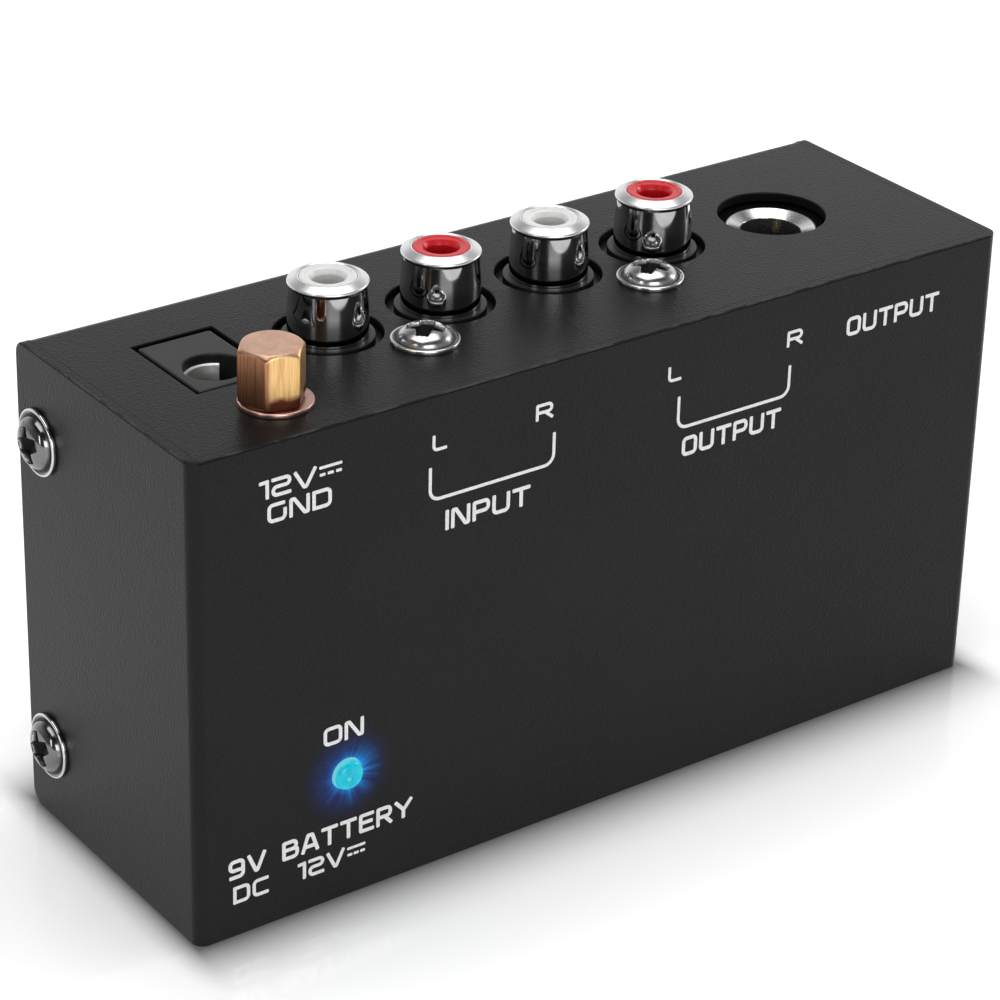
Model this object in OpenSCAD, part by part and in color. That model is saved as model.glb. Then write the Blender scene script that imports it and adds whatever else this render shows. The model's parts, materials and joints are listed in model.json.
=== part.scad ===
// Small phono preamplifier in a folded steel case, standing on one long narrow side with its
// jack panel upwards.  Millimetres.  X runs along the case, -Y is the lettered face, +Y the
// underside with the feet and the battery door, +Z the jack panel.  The origin is the middle
// of the side that the case stands on.

/* [Case] */
// Length of the case over the two end plates
case_l = 100; // [99:1:112]
// Depth of the case from the lettered face to the underside
case_d = 33; // [32.5:0.5:38]
// Height of the case from the side it stands on to the jack panel
case_h = 53; // [53:1:64]
// Thickness of the steel sheet
sheet = 1.0; // [0.8:0.1:1.2]
// Outer radius of the cover's two vertical folds
cover_fold_r = 1.3; // [1.3:0.1:2]
// Outer radius of the chassis's two long folds
chassis_fold_r = 1.8; // [1.5:0.1:2.5]
// Radius of the free corners of the end plates
end_corner_r = 1.6; // [0.5:0.1:3]
// Gap between the chassis and the cover all round
seam = 0.05; // [0.05:0.05:0.3]

/* [Case screws] */
// Diameter of a screw's flange
screw_flange_d = 7.0; // [6.4:0.1:7.4]
// Diameter of a screw's raised head
screw_head_d = 5.4; // [4.8:0.1:6]
// Height of a screw's whole head
screw_head_h = 2.0; // [1.6:0.1:2.6]
// Diameter of a screw's shank
screw_shank_d = 2.9; // [2.4:0.1:3]
// Length of a screw under its head
screw_len = 5.0; // [4:0.5:6]
// Distance of the end screws from the underside
end_screw_in = 4.3; // [4.2:0.1:5]
// Height of the lower end screws
end_screw_low = 8.7; // [8:0.1:11]
// Distance of the upper end screws below the jack panel
end_screw_drop = 9.6; // [9:0.1:12]

/* [RCA sockets] */
// Distance between neighbouring sockets
rca_pitch = 13.5; // [13.2:0.1:14]
// Middle of the row of four sockets along the case
rca_row_x = -3.3; // [-3.5:0.1:-3]
// Place of the row across the jack panel
rca_y = 1.1; // [0.6:0.1:1.5]
// Outer diameter of a socket's shell
rca_shell_d = 8.2; // [8:0.1:8.4]
// Height of a shell above the jack panel
rca_rise = 6.2; // [5.5:0.1:8]
// Diameter of a shell's mouth, filled by the insulator
rca_mouth_d = 5.8; // [5.4:0.1:6.2]
// Diameter of the bore for a plug's pin
rca_bore_d = 3.3; // [3.2:0.1:3.4]
// Diameter of the collar round a shell
rca_collar_d = 9.4; // [9.2:0.1:10]
// Diameter of the panel hole round a socket
rca_hole_d = 11.2; // [10.8:0.1:11.8]
// How far the block's screw is from its sockets' row
rca_screw_out = 7.1; // [6.8:0.1:7.4]
// How far the output block's screw is off the middle
output_screw_x = 1.0; // [0:0.1:1.2]

/* [Ground terminal] */
// How far the ground stud is off the middle of the power socket, along the case
ground_off = 0.2; // [-0.5:0.1:0.5]
// Place of the ground stud across the jack panel
ground_y = -9.7; // [-10:0.1:-9.5]
// Width of the cap nut across its flats
nut_af = 6.0; // [5.5:0.1:6.2]
// Height of the cap nut
nut_h = 5.8; // [5:0.1:7]
// Turn of the cap nut at rest
nut_turn = 48; // [0:1:60]
// Diameter of the ground stud
stud_d = 3.0; // [2.6:0.1:3]
// Outer diameter of the washer
washer_d = 7.4; // [7:0.1:8]
// Thickness of the washer
washer_t = 0.55; // [0.4:0.05:0.8]
// How far the washer sits off the stud's axis
washer_off = 0.45; // [0:0.05:0.5]

/* [Power socket] */
// Gap between the socket and the input block
dc_gap = 2.85; // [2.4:0.05:4]
// Width of the socket's body
dc_w = 8.3; // [8:0.1:8.6]
// How far the body reaches from the circuit board
dc_d = 11.6; // [11:0.1:12]
// Depth of the socket's body behind the panel
dc_len = 14; // [12:0.5:15]
// Diameter of the socket's round hole
dc_hole_d = 6.1; // [6:0.1:6.4]
// Diameter of the centre pin
dc_pin_d = 2.1; // [2:0.1:2.5]

/* [Quarter inch socket] */
// Gap between the socket and the output block
phone_gap = 2.2; // [1.8:0.1:3]
// Diameter of the panel hole
phone_hole_d = 11.7; // [11.2:0.1:12]
// Outer diameter of the socket's bright ring
phone_ring_d = 9.7; // [9:0.1:10]
// Diameter of the bore for the plug
phone_bore_d = 6.5; // [6.4:0.1:6.6]
// Length of the bore through the ring
phone_bore_l = 4; // [3:0.5:4.5]
// Width of the socket's body
phone_w = 14.4; // [13:0.1:14.4]
// Depth of the socket's body behind the panel
phone_len = 21; // [18:0.5:22]

/* [Lamp] */
// Diameter of the lamp's lens
led_d = 3.0; // [2.8:0.1:3.2]
// Gap between the lamp's rim and the battery tray
led_gap = 0.3; // [0.2:0.1:1]
// Height of the lamp
led_z = 14.2; // [13:0.1:16]
// How far the lens stands out of the lettered face
led_rise = 1.3; // [1:0.1:2]
// Length of the lens
led_len = 5.3; // [4.8:0.1:6]

/* [Circuit board] */
// Thickness of the board
board_t = 1.6; // [1.2:0.1:2]
// Distance of the sockets' row from the board
board_below = 6.9; // [6.8:0.1:7.2]
// Diameter of the two standoffs
standoff_d = 5.0; // [4.5:0.1:5.5]

/* [Battery] */
// Length of the battery over its terminals
battery_l = 48.5; // [47.5:0.5:49]
// Width of the battery
battery_w = 26.5; // [25.5:0.5:26.5]
// Thickness of the battery
battery_t = 17.5; // [16.5:0.5:17.5]
// Room for the snap connector at the battery's end
snap_room = 4.3; // [4:0.1:5]
// Room round the battery in the tray
battery_play = 0.4; // [0.3:0.1:0.6]
// Middle of the battery tray along the case
tray_x = -2.6; // [-2.8:0.1:-2.5]
// Height of the battery tray's middle
tray_z = 18.5; // [18.5:0.1:19]
// Thickness of the tray's walls
tray_wall = 1.5; // [1.4:0.1:1.6]
// Thickness of the tray's flange and of the door
flange_t = 1.1; // [1:0.1:1.5]
// Width of the flange outside the tray's walls
flange_w = 1.8; // [1.5:0.1:2]

/* [Feet] */
// Diameter of a foot
foot_d = 8; // [6:0.5:9]
// Height of a foot
foot_h = 2.2; // [1.8:0.1:4]
// Distance of the feet from the ends
foot_in = 7.5; // [6:0.5:8.5]
// Distance of the feet from the long folds
foot_side = 8; // [6.5:0.5:10]

/* [Hidden] */
$fn = 64;
e = 0.01;                                    // overlap of joined shapes and of cutters
fit = 0.05;                                  // radial clearance of a running or assembled fit
loose = 0.15;                                // clearance of parts that drop in

panel_in = case_h - sheet;                   // inner face of the jack panel
face_in = -case_d / 2 + sheet;               // inner face of the lettered face
under = case_d / 2;                          // outer face of the underside
under_in = under - sheet;                    // inner face of the underside
chassis_l = case_l - 2 * (sheet + seam);

end_screw_y = under - end_screw_in;
end_screw_z = [end_screw_low, case_h - end_screw_drop];
tab_d = end_screw_in + screw_shank_d / 2 + 2;       // depth of the chassis's end flanges
tab_trim = 3.4;                              // what the end flanges leave free at top and bottom
hole_play = 0.15;                            // radial play of a screw in the cover and the panel
recess_w = 0.95;                             // width of a cross recess
recess_deep = 1.3;

rca_x = [for (i = [0:3]) rca_row_x + (i - 1.5) * rca_pitch];
block_x = [(rca_x[0] + rca_x[1]) / 2, (rca_x[2] + rca_x[3]) / 2];
block_w = 2 * rca_pitch - 0.4;
block_len = 9;
block_left = block_x[0] - block_w / 2;
block_right = block_x[1] + block_w / 2;
block_top = panel_in - seam;
block_front = 5.7;                           // from the sockets' row to the block's front
jack_screw = [[block_x[0], rca_y - rca_screw_out],
              [block_x[1] + output_screw_x, rca_y - rca_screw_out]];
boss_d = screw_shank_d + 5;
boss_len = screw_len + 3;
collar_drop = 0.15;                          // how far a collar stays below the panel's face
shell_wall = 0.7;
shell_root = 5.5;                            // length of a shell below the panel's face
shell_step = 0.3;                            // how much slimmer that part is, on the radius
rim_r = 0.75;
insulator_root = 4.8;
insulator_play = 0.03;
contact_wall = 0.3;
grip = 0.5;                                  // how much tighter a contact is than the bore above it
contact_top = 2.4;                           // top of a contact above the panel's face
contact_root = 4.6;
cone_deep = 0.9;                             // depth of the funnel in an insulator
cone_d = rca_bore_d + 1.0;
tail_w = 0.8;
tail_t = 0.4;

board_y = rca_y + board_below;               // face of the board that carries the parts
board_back = board_y + board_t;
board_margin = 0.5;
board_l = chassis_l - 2 * (sheet + board_margin);
board_top = panel_in - 1;
board_low = sheet + 2.5;
lead_out = 1.0;                              // how far leads stand out of the board's back
lead_d = 0.6;
hole_d = 1.2;                                // diameter of the board's lead holes

led_back = -case_d / 2 - led_rise + led_len; // back of the lamp's lens
led_pitch = 2.54;
led_leg = 0.5;
led_rim = 0.4;                               // width and thickness of the rim at the lens's back

dc_x = block_left - dc_gap - dc_w / 2;
dc_front = board_y - dc_d;
dc_hole_y = board_y - 7.5;
dc_top = case_h - 0.4;
dc_deep = 10;                                // depth of the round hole
dc_notch = 1.5;                              // steps at the body's two lower edges
dc_cut = [dc_w + 2 * loose, dc_d + 2 * loose];

phone_x = block_right + phone_gap + phone_w / 2;
phone_top = panel_in - 0.3;
phone_y = rca_y - 0.4;
phone_half = 7.3;                            // from the ring's axis to the body's front
phone_front = phone_y - phone_half;
ring_lip = 0.25;                             // flat rim of the bright ring
ring_deep = 0.6;                             // depth of its funnel
phone_cavity_d = phone_bore_d + 0.4;
leaf_w = 2.8;                                // width of the tip leaf
leaf_t = 0.4;
leaf_out = 6.4;                              // from the ring's axis to the leaf's straight part
leaf_in = 3.1;                               // and to its tip, which touches the plug
leaf_up = 8;                                 // height of the straight part
leaf_tip = 11.2;
leaf_end = [5.4, 12.8];

ground_x = dc_x + ground_off;
tag_t = 0.5;
washer_z = case_h;
nut_z = washer_z + washer_t;
nut_chamfer = 0.65;
stud_above = washer_t + nut_h - 1.2;         // stud above the panel, inside the blind nut
stud_head_h = 2.0;

tray_l = battery_l + snap_room;              // inside of the tray
tray_w = battery_w + 2 * battery_play;
tray_left = tray_x - tray_l / 2 - tray_wall; // outer face of the tray
tray_right = tray_x + tray_l / 2 + tray_wall;
rib_h = 1.7;                                 // ribs of the door, which hold the battery down
tray_floor = under - rib_h - battery_t - battery_play;
door_ledge = 0.8;                            // how far the door rests on the tray's walls
door_l = tray_l + 2 * door_ledge;
door_w = tray_w + 2 * door_ledge;
knuckle_r = 0.8;
hinge_x = tray_x - door_l / 2;
hinge_y = under + flange_t - knuckle_r;
pin_r = 0.5;
pin_len = 0.5;
flange_l = tray_l + 2 * (tray_wall + flange_w);
flange_h = tray_w + 2 * (tray_wall + flange_w);
groove = 0.7;                                // width of a 45 degree wall of the door's finger grooves
tongue_w = 9;
tongue_t = 0.9;
tongue_len = 5;
tongue_gap = 0.35;                           // clearance of the tongue's swing
battery_body_l = battery_l - 2.3;
battery_x0 = tray_x - tray_l / 2 + battery_play;     // the battery's closed end
battery_y0 = tray_floor + battery_play / 2;
led_x = tray_left - led_gap - led_d / 2 - led_rim;
battery_r = 1.6;
snap_x = battery_x0 + battery_body_l;        // face that carries the terminals
snap_gap = 2.0;                              // from that face to the connector
snap_pitch = 12.7;
snap_stud_d = 5.6;
snap_ring_d = 8;
snap_stud_h = 1.9;
snap_t = 1.6;
snap_w = 12.4;
snap_l = battery_w - 1.1;

foot_pos = [for (sx = [-1, 1], z = [foot_side, case_h - foot_side])
            [sx * (case_l / 2 - foot_in), z]];
standoff_x = case_l / 2 - 8.5;
standoff_z = 7.5;
standoff_stem = standoff_d - 1.6;            // diameter of the end that is pressed into the underside
board_screw_d = 2.5;
board_screw_flange = 4.9;
board_screw_head = 4.4;
board_screw_len = board_t + 3;

wire_d = 1.3;
wire_sides = 8;
board_gap = 0.7;                             // between the tray and the board's cut-out
strip_z = tray_z + tray_w / 2 + tray_wall + board_gap;
part_row_z = (strip_z + block_top - block_len) / 2;   // row of small parts under the sockets
column_right = tray_right + board_gap;       // edge of the board's right leg
column_left = tray_left - board_gap / 2;     // edge of the board's left leg
red_z = tray_z + 4;
black_z = tray_z;
wire_x = column_right + 3.2;
tray_exit = tray_x + tray_l / 2;
red_route = [[tray_exit - 1.1, 2, red_z], [tray_exit + 0.6, 2, red_z], [tray_exit + 2.2, 2.2, red_z],
             [tray_exit + 3.8, 3.1, red_z + 0.3], [wire_x, 5, red_z + 0.5],
             [wire_x, 6.5, red_z + 0.5], [wire_x, board_y, red_z + 0.5]];
black_route = [[tray_exit - 1.1, 2, black_z], [tray_exit + 0.6, 2, black_z],
               [tray_exit + 2.2, 2.2, black_z], [tray_exit + 3.8, 3.1, black_z - 0.3],
               [wire_x, 5, black_z - 0.5], [wire_x, 6.5, black_z - 0.5],
               [wire_x, board_y, black_z - 0.5]];
ground_gap_x = block_left - dc_gap / 2;
ground_route = [[ground_x + 4.6, ground_y, panel_in - tag_t - 0.7],
                [ground_x + 5.2, ground_y + 0.6, panel_in - 3],
                [ground_gap_x, ground_y + 3, panel_in - 5.5], [ground_gap_x, -3, panel_in - 8.5],
                [ground_gap_x, 1, panel_in - 12], [ground_gap_x, 4.5, part_row_z + 0.8],
                [ground_gap_x, 6.5, part_row_z], [ground_gap_x, board_y, part_row_z]];

// ---------------------------------------------------------------- shared shapes

// Flat outline w wide and d deep, from y = 0, with its two corners at y = 0 rounded
module folded_outline(w, d, r) {
    translate([-w / 2, r]) square([w, d - r]);
    translate([-w / 2 + r, 0]) square([w - 2 * r, r + e]);
    for (s = [-1, 1]) translate([s * (w / 2 - r), r]) circle(r);
}

// Inner radius of a fold with outer radius r
function inner_fold(r) = max(r - sheet, 0.3);

// Section of a sheet folded into a U, open towards +y
module channel_section(w, d, r) {
    difference() {
        folded_outline(w, d, r);
        translate([0, sheet]) folded_outline(w - 2 * sheet, d, inner_fold(r));
    }
}

// Rounds the corner of a plate: the waste outside a quarter circle at the origin's corner
module corner_waste(r) {
    difference() {
        translate([-r, -r]) square(r + 1);
        translate([-r, -r]) circle(r);
    }
}

// Stands its children on the jack panel's outer face at [x, y]
module on_panel(p) translate([p[0], p[1], case_h]) children();

// Stands its children on the board's front face at [x, z], with local z away from the board
module on_board(p) translate([p[0], board_y, p[1]]) rotate([90, 0, 0]) children();

// Cylinder along Y between two depths
module y_rod(x, z, d, y0, y1) translate([x, y1, z]) rotate([90, 0, 0]) cylinder(d = d, h = y1 - y0);

// Screw with a flanged round head and a cross recess, head upwards and flange on z = 0
module flanged_screw(len, shank = screw_shank_d, flange = screw_flange_d, head = screw_head_d) {
    crown = 0.9;                             // height of the domed part
    crown_r = (head * head / 4 + crown * crown) / (2 * crown);
    difference() {
        union() {
            cylinder(d1 = flange, d2 = flange - 0.5, h = 0.5);
            cylinder(d = head, h = screw_head_h - crown + e);
            intersection() {
                translate([0, 0, screw_head_h - crown_r]) sphere(crown_r);
                translate([0, 0, screw_head_h - crown]) cylinder(d = head, h = crown + 1);
            }
        }
        for (a = [0, 90]) rotate(a)
            translate([-head * 0.33, -recess_w / 2, screw_head_h - recess_deep])
                cube([head * 0.66, recess_w, recess_deep + 1]);
    }
    translate([0, 0, -len]) cylinder(d = shank, h = len + e);
}

// Tube of diameter d through a list of points
function unit(v) = v / norm(v);
function heading(p, i) = unit(p[min(i + 1, len(p) - 1)] - p[max(i - 1, 0)]);
function ring(p, i, d) = let (t = heading(p, i), s = unit(cross(t, [0.3, 0.2, 1])), u = cross(s, t))
    [for (k = [0:wire_sides - 1]) let (a = 360 * k / wire_sides) p[i] + d / 2 * (cos(a) * s + sin(a) * u)];
module wire(p, d) {
    n = len(p);
    m = wire_sides;
    polyhedron(
        points = [for (i = [0:n - 1]) each ring(p, i, d)],
        faces = concat([[for (k = [0:m - 1]) k]], [[for (k = [m - 1:-1:0]) (n - 1) * m + k]],
            [for (i = [0:n - 2], k = [0:m - 1])
                [i * m + k, (i + 1) * m + k, (i + 1) * m + (k + 1) % m]],
            [for (i = [0:n - 2], k = [0:m - 1])
                [i * m + k, (i + 1) * m + (k + 1) % m, i * m + (k + 1) % m]]));
}

// ---------------------------------------------------------------- case

// Outer shell: the lettered face and both end plates, folded from one sheet
module cover() color([0.13, 0.13, 0.14]) difference() {
    translate([0, -case_d / 2, 0]) linear_extrude(case_h) channel_section(case_l, case_d, cover_fold_r);
    translate([-case_l / 2 - 1, under, case_h]) rotate([90, 0, 90])
        linear_extrude(case_l + 2) corner_waste(end_corner_r);
    translate([-case_l / 2 - 1, under, 0]) mirror([0, 0, 1]) rotate([90, 0, 90])
        linear_extrude(case_l + 2) corner_waste(end_corner_r);
    for (z = end_screw_z) translate([-case_l / 2 - 1, end_screw_y, z]) rotate([0, 90, 0])
        cylinder(d = screw_shank_d + 2 * hole_play, h = case_l + 2);
    y_rod(led_x, led_z, led_d + 2 * fit, -case_d / 2 - 1, face_in + 1);
}

// Inner shell: the jack panel, the underside and the side the case stands on, with end flanges
module chassis() color([0.15, 0.15, 0.16]) difference() {
    union() {
        translate([-chassis_l / 2, under, case_h / 2]) rotate([0, 90, 0]) rotate(180)
            linear_extrude(chassis_l) channel_section(case_h, case_d - sheet - seam, chassis_fold_r);
        for (s = [-1, 1])
            translate([s * (chassis_l / 2 - sheet / 2) - sheet / 2, under - tab_d, tab_trim])
                cube([sheet, tab_d - sheet / 2, case_h - 2 * tab_trim]);
    }
    for (s = [-1, 1]) translate([s * chassis_l / 2, under, tab_trim]) mirror([s < 0 ? 1 : 0, 0, 0])
        linear_extrude(case_h - 2 * tab_trim) corner_waste(sheet);
    for (s = [0, 1]) mirror([s, 0, 0]) translate([chassis_l / 2, face_in + seam, -1]) mirror([0, 1, 0])
        linear_extrude(case_h + 2) corner_waste(inner_fold(cover_fold_r));
    for (z = end_screw_z) translate([-case_l / 2, end_screw_y, z]) rotate([0, 90, 0])
        cylinder(d = screw_shank_d + 2 * fit, h = case_l);
    for (x = rca_x) on_panel([x, rca_y]) panel_hole(rca_hole_d);
    for (p = jack_screw) on_panel(p) panel_hole(screw_shank_d + 2 * hole_play);
    on_panel([phone_x, phone_y]) panel_hole(phone_hole_d);
    on_panel([ground_x, ground_y]) panel_hole(stud_d + 2 * hole_play);
    on_panel([dc_x - dc_cut[0] / 2, dc_front - loose]) translate([0, 0, -2 * sheet])
        cube([dc_cut[0], dc_cut[1], 3 * sheet]);
    tray_box(tray_l + 2 * (tray_wall + loose), tray_w + 2 * (tray_wall + loose), under_in - 1, under + 1);
    for (s = [-1, 1]) y_rod(s * standoff_x, standoff_z, standoff_stem + 2 * fit, under_in - 1, under + 1);
}

module panel_hole(d) translate([0, 0, -2 * sheet]) cylinder(d = d, h = 3 * sheet);

// Four screws through the end plates into the chassis's end flanges
module end_screws() color([0.5, 0.5, 0.52])
    for (s = [-1, 1], z = end_screw_z) translate([s * case_l / 2, end_screw_y, z])
        rotate([0, s * 90, 0]) flanged_screw(screw_len);

// Two screws through the jack panel into the socket blocks
module jack_screws() color([0.5, 0.5, 0.52])
    for (p = jack_screw) on_panel(p) rotate(20) flanged_screw(screw_len + sheet + 1);

module feet() color([0.08, 0.08, 0.08]) for (p = foot_pos)
    translate([p[0], under, p[1]]) rotate([-90, 0, 0]) difference() {
        cylinder(d1 = foot_d, d2 = foot_d - 1, h = foot_h);
        translate([0, 0, foot_h - 0.6]) cylinder(d = foot_d - 4, h = 1);
    }

// ---------------------------------------------------------------- RCA sockets

// Plastic block that carries two sockets, with a boss for its screw
module socket_block(i) color([0.07, 0.07, 0.08]) difference() {
    union() {
        translate([block_x[i] - block_w / 2, rca_y - block_front, block_top - block_len])
            cube([block_w, block_front + board_below, block_len]);
        translate([jack_screw[i][0], jack_screw[i][1], block_top - boss_len]) {
            cylinder(d = boss_d, h = boss_len);
            translate([-boss_d / 2, 0, 0]) cube([boss_d, rca_screw_out, boss_len]);
        }
        for (k = [0, 1]) translate([rca_x[2 * i + k], rca_y, block_top - e])
            cylinder(d = rca_collar_d, h = case_h - collar_drop - block_top + e);
    }
    for (k = [0, 1]) translate([rca_x[2 * i + k], rca_y, 0]) {
        translate([0, 0, case_h - shell_root - fit])
            cylinder(r = rca_shell_d / 2 - shell_step + fit, h = shell_root + 1);
        tail_slot();
    }
    translate([jack_screw[i][0], jack_screw[i][1], block_top - boss_len - 1])
        cylinder(d = screw_shank_d + 2 * fit, h = boss_len + 2);
}

// Room under a socket for the contact's tail on its way to the board
module tail_slot()
    translate([-tail_w / 2 - 2 * fit, -tail_w, case_h - shell_root - tail_t - 1.2])
        cube([tail_w + 4 * fit, board_below + 2, tail_t + 1.3]);

// Turned shell with a rolled rim; its mouth takes the insulator
module shell(i) color([0.8, 0.8, 0.82]) on_panel([rca_x[i], rca_y]) rotate_extrude() difference() {
    union() {
        translate([0, -shell_root]) square([rca_shell_d / 2 - shell_step, shell_root + e]);
        square([rca_shell_d / 2, rca_rise - rim_r]);
        square([rca_shell_d / 2 - rim_r, rca_rise]);
        translate([rca_shell_d / 2 - rim_r, rca_rise - rim_r]) circle(rim_r);
    }
    translate([-1, -shell_root - 1])
        square([rca_shell_d / 2 - shell_wall + 1, shell_root + rca_rise - rim_r + 1]);
    translate([-1, 0]) square([rca_mouth_d / 2 + 1, rca_rise + 1]);
}

// Insulator that fills the shell, with a funnel above the bore for the plug's pin
module insulator(i, tint) color(tint) on_panel([rca_x[i], rca_y]) rotate_extrude() difference() {
    union() {
        translate([0, -insulator_root])
            square([rca_shell_d / 2 - shell_wall - insulator_play, insulator_root + rca_rise - rim_r - 0.05]);
        translate([0, -insulator_root])
            square([rca_mouth_d / 2 - insulator_play, insulator_root + rca_rise - 0.1]);
    }
    translate([-1, -insulator_root - 1]) square([rca_bore_d / 2 + 1, insulator_root + rca_rise + 2]);
    translate([-1, -insulator_root - 1])
        square([rca_bore_d / 2 + contact_wall + fit + 1, insulator_root + contact_top + 1]);
    translate([0, rca_rise - 0.1 - cone_deep])
        polygon([[0, 0], [rca_bore_d / 2, 0], [cone_d / 2, cone_deep], [cone_d / 2, 1.5 * cone_deep],
                 [0, 1.5 * cone_deep]]);
}

// Sprung sleeve that grips the plug's pin, with a tail to the board
module contact(i) color([0.83, 0.7, 0.4]) translate([rca_x[i], rca_y, case_h]) {
    difference() {
        translate([0, 0, -contact_root])
            cylinder(d = rca_bore_d + 2 * contact_wall, h = contact_root + contact_top - fit);
        translate([0, 0, -contact_root - 1])
            cylinder(d = rca_bore_d - grip, h = contact_root + contact_top + 2);
        translate([-3, -0.25, -1]) cube([6, 0.5, contact_top + 2]);
    }
    translate([-tail_w / 2, rca_bore_d / 2, -shell_root - tail_t - 0.4])
        cube([tail_w, contact_wall, shell_root + tail_t + 0.4 - contact_root + e]);
    translate([-tail_w / 2, rca_bore_d / 2, -shell_root - tail_t - 0.4])
        cube([tail_w, board_below + board_t + lead_out - rca_bore_d / 2, tail_t]);
}

// ---------------------------------------------------------------- power socket

module power_socket() color([0.07, 0.07, 0.08]) difference() {
    translate([dc_x - dc_w / 2, dc_front, dc_top - dc_len]) cube([dc_w, dc_d, dc_len]);
    translate([dc_x, dc_hole_y, dc_top - dc_deep]) cylinder(d = dc_hole_d, h = dc_deep + 1);
    translate([dc_x, dc_hole_y, dc_top - dc_len - 1]) cylinder(d = dc_pin_d + 0.4 + 2 * fit, h = dc_len);
    translate([dc_x - dc_w / 2 - 1, dc_hole_y - 1.7, dc_top - dc_deep]) cube([dc_w / 2, 3.4, dc_deep - 1.2]);
    for (y = [dc_front - 1, board_y - dc_notch]) translate([dc_x - dc_w / 2 - 1, y, dc_top - dc_len - 1])
        cube([dc_w + 2, dc_notch + 1, dc_notch + 1]);
}

// Centre pin, riveted at the back, with a tail to the board
module power_pin() color([0.85, 0.85, 0.86]) {
    translate([dc_x, dc_hole_y, dc_top - dc_len - 0.5])
        cylinder(d = dc_pin_d + 0.4, h = dc_len - dc_deep + 0.5);
    translate([dc_x, dc_hole_y, dc_top - dc_deep - e]) cylinder(d = dc_pin_d, h = dc_deep - 2 + e);
    translate([dc_x, dc_hole_y, dc_top - 2.02]) cylinder(d1 = dc_pin_d, d2 = dc_pin_d - 1, h = 0.6);
    translate([dc_x - tail_w, dc_hole_y, dc_top - dc_len - 0.5 - tail_t])
        cube([2 * tail_w, board_back + lead_out - dc_hole_y, tail_t]);
}

// Leaf that presses on the plug's sleeve, bent in at its middle
module power_spring() color([0.85, 0.85, 0.86])
    translate([dc_x - dc_w / 2 + 0.1, dc_hole_y + 1.5, dc_top - dc_deep + 0.1]) rotate([90, 0, 0])
        linear_extrude(3)
            polygon([[0, 0], [0.4, 0], [0.4, 2], [1.75, 5.2], [1.2, 8.4], [0.8, 8.4], [1.25, 5.2], [0, 2.2]]);

// ---------------------------------------------------------------- quarter inch socket

module phone_socket() color([0.07, 0.07, 0.08]) difference() {
    translate([phone_x - phone_w / 2, phone_front, phone_top - phone_len])
        cube([phone_w, board_y - phone_front, phone_len]);
    translate([phone_x, phone_y, phone_top - ring_deep - phone_bore_l - fit])
        cylinder(d = phone_ring_d + 2 * fit, h = ring_deep + phone_bore_l + 1);
    translate([phone_x, phone_y, phone_top - phone_len - 1]) cylinder(d = phone_cavity_d, h = phone_len);
    translate([phone_x, phone_y - leaf_w / 2 - 0.2, phone_top - phone_len - 1])
        cube([phone_w, leaf_w + 0.4, phone_len - ring_deep - phone_bore_l]);
}

// Bright threaded ring, set flush in the body, with a funnel that leads the plug in
module phone_ring() color([0.85, 0.85, 0.86])
    translate([phone_x, phone_y, phone_top - ring_deep - phone_bore_l]) rotate_extrude() polygon([
        [phone_bore_d / 2, 0], [phone_ring_d / 2, 0], [phone_ring_d / 2, phone_bore_l + ring_deep],
        [phone_ring_d / 2 - ring_lip, phone_bore_l + ring_deep], [phone_bore_d / 2, phone_bore_l]]);

// Bent leaf that touches the plug's tip
module phone_tip_spring() color([0.83, 0.7, 0.4])
    translate([phone_x, phone_y + leaf_w / 2, phone_top - phone_len + 0.5]) rotate([90, 0, 0])
        linear_extrude(leaf_w) polygon([
            [leaf_out, -leaf_t], [leaf_out + leaf_t, -leaf_t], [leaf_out + leaf_t, leaf_up],
            [leaf_in + 1.5 * leaf_t, leaf_tip], leaf_end, leaf_end + [-0.75, 0.75] * leaf_t,
            [leaf_in, leaf_tip], [leaf_out, leaf_up - leaf_t / 2]]);

// ---------------------------------------------------------------- ground terminal

// Screw fixed from inside, whose free end takes the cap nut
module ground_stud() color([0.78, 0.62, 0.33]) on_panel([ground_x, ground_y]) {
    translate([0, 0, -sheet - tag_t - e]) cylinder(d = stud_d, h = sheet + tag_t + stud_above);
    translate([0, 0, -sheet - tag_t - stud_head_h]) cylinder(d = nut_af - 0.2, h = stud_head_h, $fn = 6);
}

module ground_tag() color([0.8, 0.8, 0.78]) translate([ground_x, ground_y, panel_in - tag_t]) difference() {
    union() {
        cylinder(d = nut_af + 0.4, h = tag_t);
        translate([0, -1.1, 0]) cube([nut_af / 2 + 2.4, 2.2, tag_t]);
    }
    translate([0, 0, -1]) cylinder(d = stud_d + 2 * fit, h = tag_t + 2);
}

module ground_wire() color([0.1, 0.35, 0.15]) wire(ground_route, wire_d);

module ground_washer() color([0.72, 0.45, 0.36])
    translate([ground_x + washer_off, ground_y, washer_z]) difference() {
        cylinder(d = washer_d, h = washer_t);
        translate([0, 0, -1]) cylinder(d = stud_d + 2 * washer_off + 2 * fit, h = washer_t + 2);
    }

// Blind hexagonal nut with a chamfered top
module ground_nut() color([0.77, 0.6, 0.38])
    translate([ground_x, ground_y, nut_z]) difference() {
        intersection() {
            rotate(nut_turn) cylinder(d = nut_af / cos(30), h = nut_h, $fn = 6);
            rotate_extrude() polygon([[0, 0], [nut_af / 2 - 0.15, 0], [nut_af * 0.6, 0.35],
                [nut_af * 0.6, nut_h - nut_chamfer], [nut_af / 2 - 0.1, nut_h], [0, nut_h]]);
        }
        translate([0, 0, -1]) cylinder(d = stud_d + 2 * fit, h = nut_h - 0.9 + 1);
    }

// ---------------------------------------------------------------- circuit board and its parts

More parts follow.
